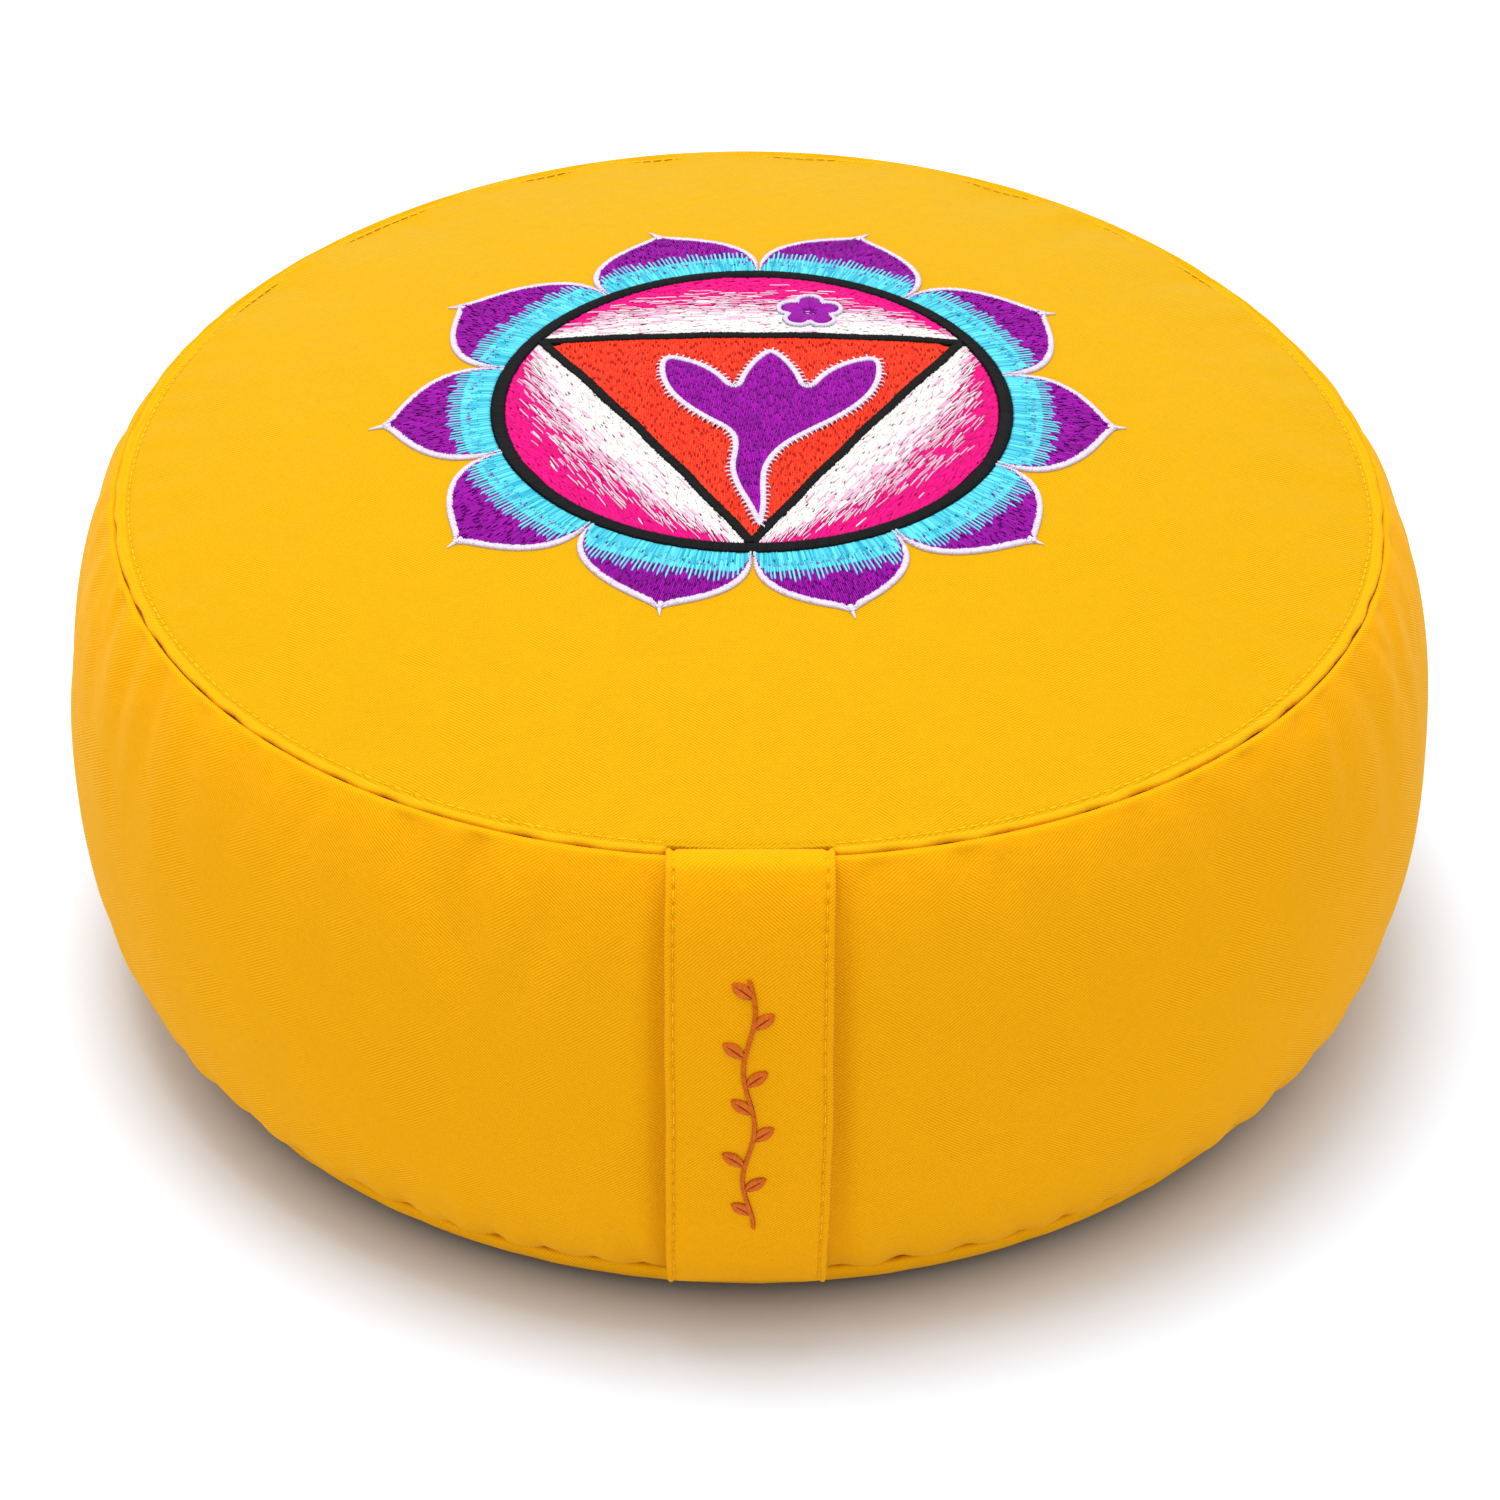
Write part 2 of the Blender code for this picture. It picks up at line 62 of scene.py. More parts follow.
Array = np.ndarray
Chance = np.random.RandomState
Floats = tuple[float, ...]
Object = bpy.types.Object
Pair = tuple[float, float]
Socket = bpy.types.NodeSocket
Triple = tuple[float, float, float]
Waves = dict[str, float]
Section = tuple[Array, Array]  # distances across and out, round a strip's section from one edge
Surface = Callable[[Array, Array, Array], Array]  # (across, up, lift) to places in space


# ---- places and paths
def round_places(radius: Array | float, angle: Array, height: Array | float) -> Array:
    """Places in space, one row each, by distance from the axis, angle round the cushion and height."""
    return np.stack(np.broadcast_arrays(radius * np.sin(angle), -radius * np.cos(angle), height), axis=1)


def smooth(value: Array, low: float, high: float) -> Array:
    """Rises softly from 0 at low to 1 at high."""
    share = np.clip((value - low) / (high - low), 0, 1)
    return share * share * (3 - 2 * share)


def waves(**terms: float) -> Waves:
    """A dataclass field of waves: the size of each by a name such as cos2."""
    return field(default_factory=lambda: terms)


def wave(angle: Array, terms: Waves) -> Array:
    """Adds up named waves.

    Args:
        angle: Angles round the cushion.
        terms: The size of each wave.

    Returns:
        The sum at each angle.
    """
    total = np.zeros_like(angle)
    for name, size in terms.items():
        turn = np.cos if name.startswith("cos") else np.sin
        total = total + size * turn(int(name[3:]) * angle)
    return total


def lengths_along(path: Array) -> Array:
    """How far along a path each of its places is."""
    return np.concatenate([[0], np.cumsum(np.linalg.norm(np.diff(path, axis=0), axis=1))])


def left_of(heading: Array) -> Array:
    """The direction a quarter turn to the left of another."""
    return np.array([-heading[1], heading[0]])


def sides_of(path: Array, closed: bool = False) -> Array:
    """The direction to the left of a path at each place."""
    run = np.roll(path, -1, axis=0) - np.roll(path, 1, axis=0) if closed else np.gradient(path, axis=0)
    run = run / np.linalg.norm(run, axis=1)[:, None]
    return np.stack([-run[:, 1], run[:, 0]], axis=1)


def softened(path: Array) -> Array:
    """A path whose inner places have moved half of the way towards the middle of their neighbours."""
    eased = path.copy()
    eased[1:-1] = path[1:-1] * 0.5 + (path[:-2] + path[2:]) * 0.25
    return eased


def resampled(path: Array, step: float, closed: bool = False) -> Array:
    """Places along a path at even distances.

    Args:
        path: The path, one place a row.
        step: Distance between the new places.
        closed: Whether it is a loop.

    Returns:
        The new path.
    """
    line = np.vstack([path, path[:1]]) if closed else path
    length = lengths_along(line)
    count = max(3, int(round(length[-1] / step)))
    at = np.linspace(0, length[-1], count + 1)
    if closed:
        at = at[:-1]
    return np.stack([np.interp(at, length, line[:, 0]), np.interp(at, length, line[:, 1])], axis=1)


def rounded(loop: Array, times: int = 2) -> Array:
    """Rounds a loop's corners by cutting each in turn."""
    for _ in range(times):
        after = np.roll(loop, -1, axis=0)
        loop = np.stack([loop * 0.75 + after * 0.25, loop * 0.25 + after * 0.75], axis=1).reshape(-1, 2)
    return loop


# ---- the cushion's shape
@dataclass(frozen=True)
class Tucks:
    """The small tucks that a gathered cloth makes along a seam, at uneven places, depths and lengths."""

    count: int
    seed: int
    depth: float
    width: float
    reach: float
    start: float = 0.003  # distance from the seam in which a tuck deepens
    lean: float = 0.0  # how far a tuck runs aside for each metre away from the seam, at most

    def depth_at(self, angle: Array, distance: Array, radius: float) -> Array:
        """Finds how far the cloth is drawn in.

        Args:
            angle: Angles round the cushion.
            distance: Distances from the seam.
            radius: Radius of the seam.

        Returns:
            The depth at each place.
        """
        chance = Chance(self.seed)
        step = TAU / self.count
        places = (np.arange(self.count) + chance.uniform(-0.3, 0.3, self.count)) * step
        depths = self.depth * chance.uniform(0.35, 1.0, self.count)
        reaches = self.reach * chance.uniform(0.6, 1.3, self.count)
        leans = self.lean * chance.uniform(-1.0, 1.0, self.count)
        rise = 1 - np.exp(-distance / self.start)
        total = np.zeros_like(angle)
        for place, depth, reach, lean in zip(places, depths, reaches, leans):
            apart = (angle - place + math.pi) % TAU - math.pi
            across = np.exp(-(((apart * radius - lean * distance) / self.width) ** 2))
            total = total + depth * across * rise * np.exp(-distance / reach)
        return total


@dataclass(frozen=True)
class CushionShape:
    """The stuffed form that every sewn piece shares, with its seams, ridge and tucks."""

    top_seam_radius: float = 0.1504
    top_seam_height: float = 0.1334
    base_seam_radius: float = 0.1466
    base_seam_height: float = 0.0125
    foot_radius: float = 0.1270
    crown_rise: float = 0.0181
    crown_power: float = 2.2
    band_bulge: float = 0.0165
    bulge_power: float = 0.55
    bulge_skew: float = -0.15
    panel_thickness: float = 0.0016
    piece_gap: float = 0.0003
    ridge_radius: float = 0.00125
    ridge_sink: float = 0.0008
    ridge_lean: float = math.radians(30)
    groove_inset: float = 0.0025
    groove_depth: float = 0.0002
    strap_cover: float = 0.024
    band_top_tucks: Tucks = Tucks(60, 3, 0.0016, 0.0042, 0.022)
    band_base_tucks: Tucks = Tucks(60, 8, 0.0022, 0.0042, 0.014)
    panel_tucks: Tucks = Tucks(40, 5, 0.0007, 0.0060, 0.014)
    seam_rise: Waves = waves(sin1=-0.0005, cos2=0.0009, sin3=0.0005)
    seam_spread: Waves = waves(sin1=-0.0004, sin2=0.0013, cos3=-0.0014)

    def crown_height(self, radius: Array) -> Array:
        """Height of the top's face at a distance from the axis."""
        share = np.clip(radius / self.top_seam_radius, 0, 1)
        return self.top_seam_height + self.crown_rise * (1 - share**self.crown_power)

    def band_point(self, share: Array) -> tuple[Array, Array]:
        """Radius and height of the side's face, from 0 at the base seam to 1 at the top seam."""
        fullness = (4 * share * (1 - share)) ** self.bulge_power * (1 + self.bulge_skew * (2 * share - 1))
        run = self.top_seam_radius - self.base_seam_radius
        rise = self.top_seam_height - self.base_seam_height
        radius = self.base_seam_radius + run * share + self.band_bulge * fullness
        return radius, self.base_seam_height + rise * share

    def base_point(self, turn: float, inset: float = 0.0) -> Pair:
        """Radius and height of the base's curved edge, from 0 degrees at the seam to 90 at the flat foot."""
        reach = self.base_seam_radius - self.foot_radius - inset
        rise = self.base_seam_height - inset
        angle = math.radians(turn)
        return self.foot_radius + reach * math.cos(angle), inset + rise * (1 - math.sin(angle))

    def ridge_point(self, along: Array, out: Array) -> tuple[Array, Array]:
        """Radius and height of a point along the surface and out from the middle of the top seam's ridge."""
        lean_out, lean_up = math.sin(self.ridge_lean), math.cos(self.ridge_lean)
        radius = self.top_seam_radius - self.ridge_sink * lean_out + along * lean_up + out * lean_out
        height = self.top_seam_height - self.ridge_sink * lean_up - along * lean_out + out * lean_up
        return radius, height

    def clear_of_strap(self, x: Array, y: Array) -> Array:
        """0 under the strap and 1 away from it."""
        return np.where(y < 0, 1 - np.exp(-((x / self.strap_cover) ** 6)), 1.0)

    def settled(self, points: Array, tucked: bool = True) -> Array:
        """Moves the points of a truly round piece to where the sewn and filled cushion has them.

        Args:
            points: Places, one row each.
            tucked: Whether the cloth's tucks are drawn in too.

        Returns:
            The moved places.
        """
        x, y, z = points.T
        radius = np.hypot(x, y)
        angle = np.arctan2(x, -y)
        upper = smooth(z, self.base_seam_height, self.top_seam_height)
        outward = np.clip(radius / self.top_seam_radius, 0, 1)
        rise = wave(angle, self.seam_rise) * upper * outward**2
        spread = wave(angle, self.seam_spread) * upper * outward**3
        if tucked:
            free = self.clear_of_strap(x, y)
            on_band = (radius > self.base_seam_radius) & (z > self.base_seam_height)
            on_band &= z < self.top_seam_height - self.ridge_radius
            below_top = np.clip(self.top_seam_height - z, 0, None)
            above_base = np.clip(z - self.base_seam_height, 0, None)
            drawn_in = self.band_top_tucks.depth_at(angle, below_top, self.top_seam_radius)
            drawn_in = drawn_in + self.band_base_tucks.depth_at(angle, above_base, self.base_seam_radius)
            spread = spread - np.where(on_band, drawn_in, 0) * free
            inside = np.clip(self.top_seam_radius - self.groove_inset - radius, 0, None)
            on_top = (radius < self.top_seam_radius - self.groove_inset) & (upper > 0.9)
            dip = self.panel_tucks.depth_at(angle, inside, self.top_seam_radius)
            rise = rise - np.where(on_top, dip, 0) * free
        moved = radius + spread
        return round_places(moved, angle, z + rise)


SHAPE = CushionShape()


@dataclass(frozen=True)
class Medallion:
    """Sizes of the lotus and how it lies on the crown."""

    offset: Pair = (0.0005, 0.0090)
    ring_outer: float = 0.0625
    ring_inner: float = 0.0590
    frame_line: float = 0.0026
    thread: float = 0.00052
    pitch: float = 0.00041
    strip_low: float = 0.00003  # height of the undersides of the strips under the outlines
    under_ring: float = 0.0623  # where the petals' stitches start

    def surface(self, across: Array, up: Array, lift: Array) -> Array:
        """Lays a place of the medallion on the top's face.

        Args:
            across: Distance to the right of its middle.
            up: Distance behind its middle.
            lift: Height above the cloth.

        Returns:
            Its places in space.
        """
        x, y = across + self.offset[0], up + self.offset[1]
        return SHAPE.settled(np.stack([x, y, SHAPE.crown_height(np.hypot(x, y)) + lift], axis=1))


LOTUS = Medallion()


# ---- materials
class Nodes:
    """Builds a material's node tree with short calls."""

    def __init__(self, name: str) -> None:
        """Makes an empty material with a Principled shader.

        Args:
            name: The material's name.
        """
        self.material = bpy.data.materials.new(name)
        self.material.use_nodes = True
        self.tree = self.material.node_tree
        self.shader = self.tree.nodes["Principled BSDF"]

    def add(self, kind: str, inputs: dict | None = None, **settings: object) -> bpy.types.Node:
        """Adds a node.

        Args:
            kind: Its type, without "ShaderNode".
            inputs: Values or output sockets for its inputs, by name or number.
            settings: Its other properties.

        Returns:
            The node.
        """
        node = self.tree.nodes.new("ShaderNode" + kind)
        for name, value in settings.items():
            setattr(node, name, value)
        for key, value in (inputs or {}).items():
            self.join(value, node.inputs[key])
        return node

    def join(self, value: object, socket: Socket) -> None:
        """Links an output to a socket, or sets the socket's own value."""
        if isinstance(value, Socket):
            self.tree.links.new(value, socket)
        else:
            socket.default_value = value

    def math(self, operation: str, first: object, second: object = 0.0) -> Socket:
        """Adds a Math node and gives its output."""
        return self.add("Math", {0: first, 1: second}, operation=operation).outputs[0]

    def mix(self, share: object, first: object, second: object) -> Socket:
        """Adds a colour mix and gives its output."""
        node = self.add("Mix", data_type="RGBA", clamp_factor=True)
        self.join(share, node.inputs[0])
        self.join(first, node.inputs[6])
        self.join(second, node.inputs[7])
        return node.outputs[2]

    def noise(self, place: object, scale: float, detail: float = 2.0, roughness: float = 0.5) -> Socket:
        """Adds a noise texture and gives its factor."""
        inputs = {"Vector": place, "Scale": scale, "Detail": detail, "Roughness": roughness}
        return self.add("TexNoise", inputs).outputs["Fac"]

    def scaled_and_moved(self, value: object, scale: float, move: float) -> Socket:
        """Multiplies a value, adds a number and gives the output."""
        output = self.math("MULTIPLY_ADD", value, scale)
        output.node.inputs[2].default_value = move
        return output

    def swing(self, value: object, size: float, middle: float = 0.5) -> Socket:
        """Scales how far a value is from its middle."""
        return self.math("MULTIPLY", self.math("SUBTRACT", value, middle), size)

    def bumped(self, height: object, distance: float) -> Socket:
        """Adds a bump of a height map and gives its normal."""
        return self.add("Bump", {"Height": height, "Strength": 1.0, "Distance": distance}).outputs[0]

    def finished(self, inputs: dict[str, object]) -> bpy.types.Material:
        """Sets or links the shader's inputs and gives the material."""
        for name, value in inputs.items():
            self.join(value, self.shader.inputs[name])
        return self.material

    def stretched(self, place: object, scale: Triple) -> Socket:
        """Scales a place by a different number along each axis."""
        return self.add("VectorMath", {0: place, 1: scale}, operation="MULTIPLY").outputs[0]

    def sine(self, place: object, direction: float, pitch: float, shift: object = 0.0) -> Socket:
        """Adds waves across a map.

        Args:
            place: The map's place, in metres.
            direction: Angle from the first axis in which the waves follow each other.
            pitch: Distance between them.
            shift: Added to the wave's angle.

        Returns:
            Their height, from -1 to 1.
        """
        turn = (TAU / pitch * math.cos(direction), TAU / pitch * math.sin(direction), 0.0)
        dot = self.add("VectorMath", {0: place, 1: turn}, operation="DOT_PRODUCT").outputs["Value"]
        return self.math("SINE", self.math("ADD", dot, shift))


def linear(colour: Sequence[float]) -> tuple[float, float, float, float]:
    """Turns a colour with channels from 0 to 255 into light.

    Args:
        colour: Red, green and blue.

    Returns:
        The same in linear light, with alpha 1.
    """
    shares = [channel / 255 for channel in colour]
    light = [s / 12.92 if s <= 0.04045 else ((s + 0.055) / 1.055) ** 2.4 for s in shares]
    return (light[0], light[1], light[2], 1.0)


@dataclass(frozen=True)
class TwillFinish:
    """Cotton twill: fine slanting ribs made of short yarns, with slubs, soft mottling, a pale sheen and painted
    shade and highlight along the ribs.
    """

    name: str
    colour: Triple
    deep: Triple  # painted shade: colour between the ribs
    pale: Triple  # painted highlight: colour on top of the ribs
    slant: float = math.radians(52)  # direction in which the ribs follow each other
    pitch: float = 0.00068
    second_pitch: float = 0.94  # pitch of the ribs in the patches that slant the other way, as a share
    yarn_pitch: float = 0.62  # pitch of the yarns along the ribs, as a share
    yarn_turn: float = math.radians(63)
    rib_size: float = 0.40  # how much the ribs, yarns and uneven threads each add to the relief
    yarn_size: float = 0.13
    slub_size: float = 0.55
    weft_size: float = 0.35
    bump: float = 0.000075
    sheen: float = 0.13
    crumple: float = 0.0005  # height of the soft creases

    def material(self) -> bpy.types.Material:
        """Builds the finish as nodes."""
        nodes = Nodes(self.name)
        place = nodes.add("UVMap", uv_map=CLOTH_MAP).outputs[0]
        drift = nodes.math("MULTIPLY", nodes.noise(place, 160.0), 2.2)
        patch = nodes.scaled_and_moved(nodes.noise(place, 52.0, 1.0), 7.0, -3.1)
        patch.node.use_clamp = True
        rib = nodes.sine(place, self.slant, self.pitch, drift)
        across = nodes.sine(place, math.pi - self.slant, self.pitch * self.second_pitch, drift)
        rib = nodes.add("Mix", {0: patch, 2: across, 3: rib}).outputs[0]
        yarn = nodes.sine(place, self.slant + self.yarn_turn, self.pitch * self.yarn_pitch, drift)
        slub = nodes.noise(nodes.stretched(place, (420.0, 2600.0, 1.0)), 1.0, 3.0, 0.6)
        weft = nodes.noise(nodes.stretched(place, (2300.0, 380.0, 1.0)), 1.0, 2.0, 0.6)
        mottle = nodes.noise(place, 26.0, 3.0, 0.55)
        height = nodes.scaled_and_moved(rib, self.rib_size, 0.5)
        height = nodes.math("ADD", height, nodes.math("MULTIPLY", yarn, self.yarn_size))
        height = nodes.math("ADD", height, nodes.swing(slub, self.slub_size))
        height = nodes.math("ADD", height, nodes.swing(weft, self.weft_size))
        # painted shade and highlight: the colour darkens where the ribs, yarns and slubs sink and lightens
        # where they rise
        painted_rib_shading = nodes.mix(height, linear(self.deep), linear(self.pale))
        shade = nodes.swing(mottle, 0.9, 0.40)
        crumple = nodes.math("MULTIPLY", nodes.noise(place, 130.0, 3.0, 0.45), self.crumple / self.bump)
        relief = nodes.math("ADD", height, crumple)
        return nodes.finished({
            "Base Color": nodes.mix(shade, painted_rib_shading, linear(self.colour)),
            "Roughness": 0.88,
            "Specular IOR Level": 0.03,
            "Sheen Weight": self.sheen,
            "Sheen Roughness": 0.30,
            "Sheen Tint": (1.0, 1.0, 0.30, 1.0),
            "Normal": nodes.bumped(relief, self.bump),
        })


@dataclass(frozen=True)
class ThreadFinish:
    """Lustrous embroidery thread: twisted plies, with a tone of its own for each stitch and painted shade and
    highlight along the twist.
    """

    name: str
    deep: Triple
    pale: Triple
    twist: float = 0.00042  # length of a turn of the plies
    roughness: float = 0.42
    gloss: float = 0.16
    bump: float = 0.000018

    def material(self) -> bpy.types.Material:
        """Builds the finish as nodes."""
        nodes = Nodes(self.name)
        place = nodes.add("UVMap", uv_map=THREAD_MAP).outputs[0]
        tone = nodes.add("Attribute", attribute_name=TONE, attribute_type="GEOMETRY").outputs["Fac"]
        fibre = nodes.noise(nodes.stretched(place, (700.0, 9000.0, 1.0)), 1.0, 2.0, 0.6)
        ply = nodes.sine(place, math.radians(38), self.twist)
        share = nodes.math("ADD", tone, nodes.swing(fibre, 0.55))
        # painted shade and highlight: the colour darkens and lightens with the plies' twist, in step with its
        # relief
        share = nodes.math("ADD", share, nodes.math("MULTIPLY", ply, 0.10))
        relief = nodes.math("ADD", nodes.math("MULTIPLY", ply, 0.5), fibre)
        return nodes.finished({
            "Base Color": nodes.mix(share, linear(self.deep), linear(self.pale)),
            "Roughness": self.roughness,
            "Specular IOR Level": self.gloss,
            "Normal": nodes.bumped(relief, self.bump),
        })


@dataclass(frozen=True)
class FloorFinish:
    """A plain pale studio floor with a very faint unevenness and a painted contact shadow that darkens it close
    to the cushion.
    """

    name: str = "pale_floor"
    colour: Triple = (231, 242, 254)
    painted_shadow_reach: float = 0.014  # how far from the cushion the painted shadow reaches
    painted_shadow_power: float = 0.42  # how steeply the painted shadow darkens
    painted_shadow_colour: tuple[float, float, float, float] = (0.02, 0.02, 0.02, 1.0)
    unevenness: float = 0.985

    def material(self) -> bpy.types.Material:
        """Builds the finish as nodes."""
        nodes = Nodes(self.name)
        place = nodes.add("TexCoord").outputs["Object"]
        pale = linear(self.colour)
        deep = (*(channel * self.unevenness for channel in pale[:3]), 1.0)
        # painted contact shadow: ambient occlusion darkens the floor's colour near the cushion
        near = nodes.add("AmbientOcclusion", {"Distance": self.painted_shadow_reach}, samples=8)
        shade = nodes.math("POWER", near.outputs["AO"], self.painted_shadow_power)
        worn = nodes.mix(nodes.noise(place, 3.0), deep, pale)
        colour = nodes.mix(shade, self.painted_shadow_colour, worn)
        return nodes.finished({"Base Color": colour, "Roughness": 0.9, "Specular IOR Level": 0.1})


class Cloth(Enum):
    """The cushion's cloths: copies of one yellow twill whose colours hold painted light. The side band, strap
    and base are painted lighter than the top to make up for the shade on the cushion's sides, and the turned
    edge is painted lighter than the top as a highlight along the ridge.
    """

    TOP = TwillFinish("panel_cloth", (203, 152, 6), (187, 134, 1), (216, 166, 13), sheen=0.65)
    EDGE = TwillFinish("turned_edge_cloth", (224, 162, 9), (208, 146, 2), (236, 176, 18), sheen=0.3)
    BAND = TwillFinish("band_cloth", (236, 161, 7), (220, 143, 1), (248, 176, 15), math.radians(128))
    BASE = TwillFinish("base_cloth", (247, 170, 8), (231, 152, 2), (253, 184, 17))
    STRAP = TwillFinish("strap_cloth", (237, 161, 6), (220, 141, 1), (249, 175, 14), math.radians(40))


class Thread(Enum):
    """The threads, by colour: the deepest and the palest tone of a stitch."""

    PURPLE = ThreadFinish("purple_thread", (98, 3, 110), (158, 8, 164), gloss=0.07)
    TURQUOISE = ThreadFinish("turquoise_thread", (14, 150, 182), (98, 214, 226))
    PALE = ThreadFinish("pale_outline_thread", (184, 172, 198), (216, 208, 224))
    BLACK = ThreadFinish("black_thread", (3, 3, 4), (18, 19, 21), roughness=0.6, gloss=0.10)
    MAGENTA = ThreadFinish("magenta_thread", (184, 0, 98), (226, 5, 126), gloss=0.08)
    PINK = ThreadFinish("pink_thread", (206, 138, 172), (228, 192, 210))
    WHITE = ThreadFinish("white_thread", (202, 196, 194), (228, 225, 222))
    RED = ThreadFinish("orange_red_thread", (206, 36, 16), (240, 64, 34), gloss=0.10)
    # an underlay in the red thread's colour, painted darker as the shade in the gaps between the triangle's
    # stitches
    RED_UNDERLAY_SHADE = ThreadFinish("red_underlay_painted_shade", (160, 22, 14), (190, 34, 22))
    YELLOW = ThreadFinish("yellow_seam_thread", (226, 160, 6), (248, 188, 24), gloss=0.05)
    ORANGE = ThreadFinish("orange_thread", (196, 80, 4), (222, 110, 14))


@cache
def material_of(finish: Cloth | Thread) -> bpy.types.Material:
    """Gives a finish's material, made once."""
    return finish.value.material()


# ---- making meshes
def placed(name: str, data: bpy.types.ID) -> Object:
    """Makes an object and puts it into the scene."""
    made = bpy.data.objects.new(name, data)
    bpy.context.scene.collection.objects.link(made)
    return made


class MeshWork:
    """Collects points and faces as arrays and turns them into one mesh object."""

    def __init__(self) -> None:
        """Starts with nothing."""
        self.points: list[Array] = []
        self.faces: list[Array] = []
        self.maps: list[Array] = []
        self.slots: list[Array] = []
        self.tones: list[Array] = []
        self.count = 0
        self.finishes: list[Cloth | Thread] = []

    def slot_of(self, finish: Cloth | Thread) -> int:
        """Number of a finish in this mesh."""
        if finish not in self.finishes:
            self.finishes.append(finish)
        return self.finishes.index(finish)

    def add_points(self, points: Array, tone: Array | float = 0.5) -> int:
        """Adds points.

        Args:
            points: Places, one row each.
            tone: How light the points' stitches are.

        Returns:
            The number of the first of them.
        """
        first = self.count
        self.points.append(points)
        self.tones.append(np.broadcast_to(np.asarray(tone, float), (len(points),)))
        self.count += len(points)
        return first

    def add_faces(self, faces: Array, places: Array, finish: Cloth | Thread) -> None:
        """Adds faces that all have the same number of corners.

        Args:
            faces: Point numbers, one row a face.
            places: The map's place at each corner, in an array of faces, corners and two.
            finish: What the faces are made of.
        """
        self.faces.append(faces)
        self.maps.append(places)
        self.slots.append(np.full(len(faces), self.slot_of(finish)))

    def to_piece(self, name: str, slot: str, *nodes: str) -> Object:
        """Makes the mesh a piece of the cushion.

        Args:
            name: The piece's name.
            slot: The record's finish for it. It is not used.
            nodes: The solids that it stands for.

        Returns:
            The piece, in the scene and smooth.
        """
        stitched = isinstance(self.finishes[0], Thread)
        mesh = bpy.data.meshes.new(name)
        corners = np.concatenate([part.ravel() for part in self.faces])
        sizes = np.concatenate([np.full(len(part), part.shape[1]) for part in self.faces])
        starts = np.concatenate([[0], np.cumsum(sizes)[:-1]])
        mesh.vertices.add(self.count)
        mesh.vertices.foreach_set("co", np.concatenate(self.points).astype(np.float32).ravel())
        mesh.loops.add(len(corners))
        mesh.loops.foreach_set("vertex_index", corners.astype(np.int32))
        mesh.polygons.add(len(sizes))
        mesh.polygons.foreach_set("loop_start", starts.astype(np.int32))
        mesh.polygons.foreach_set("material_index", np.concatenate(self.slots).astype(np.int32))
        mesh.update(calc_edges=True)
        layer = mesh.uv_layers.new(name=THREAD_MAP if stitched else CLOTH_MAP)
        places = np.concatenate([part.reshape(-1, 2) for part in self.maps])
        layer.data.foreach_set("uv", places.astype(np.float32).ravel())
        if stitched:
            tone = mesh.attributes.new(TONE, "FLOAT", "POINT")
            tone.data.foreach_set("value", np.concatenate(self.tones).astype(np.float32))
        mesh.shade_smooth()
        mesh.validate()
        for finish in self.finishes:
            mesh.materials.append(material_of(finish))
        piece = placed(name, mesh)
        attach(piece, BODY)
        if nodes:
            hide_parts(*nodes)
        log.info("%s: %d faces", name, len(mesh.polygons))
        return piece


class RingSurface(MeshWork):
    """A cloth built ring by ring, from its middle on top outwards and down to its middle below."""

    def __init__(self, finish: Cloth) -> None:
        """Starts with nothing.

        Args:
            finish: The cloth.
        """
        super().__init__()
        self.finish = finish
        self.last: tuple[int, int, Array] | None = None

    def add_ring(self, points: Array, places: Array) -> None:
        """Adds a ring and the faces that join it to the last one.

        Args:
            points: Its places in space. One point makes a closed middle.
            places: Its places on the cloth, with one more that closes the turn.
        """
        start = self.add_points(points)
        if self.last is not None:
            self._bridge(self.last, (start, len(points), places))
        self.last = (start, len(points), places)

    def _bridge(self, inner: tuple[int, int, Array], outer: tuple[int, int, Array]) -> None:
        """Joins two rings, of which one may have a whole number of times the other's points."""
        many, few = (outer, inner) if outer[1] >= inner[1] else (inner, outer)
        flipped = many is inner
        ratio = many[1] // few[1]
        own = np.arange(few[1])
        if ratio == 1:
            pieces = [((0, own), (1, own), (1, own + 1), (0, own + 1))]
        elif few[1] == 1:
            step = np.arange(many[1])
            pieces = [((0, step * 0), (1, step), (1, step + 1))]
        else:
            half = ratio // 2
            first = own * ratio
            pieces = [((0, own), (1, first + i), (1, first + i + 1)) for i in range(half)]
            pieces += [((0, own + 1), (1, first + i), (1, first + i + 1)) for i in range(half, ratio)]
            pieces += [((0, own), (1, first + half), (0, own + 1))]
        for corners in pieces:
            order = corners[::-1] if flipped else corners
            rings = (few, many)
            faces = np.stack([rings[r][0] + column % rings[r][1] for r, column in order], axis=1)
            places = [rings[r][2][np.minimum(column, len(rings[r][2]) - 1)] for r, column in order]
            self.add_faces(faces, np.stack(places, axis=1), self.finish)


def flat_places(points: Array) -> Array:
    """Places on a cloth that lies flat on top: its own across and up, closed at the turn."""
    return np.vstack([points[:, :2], points[:1, :2]])


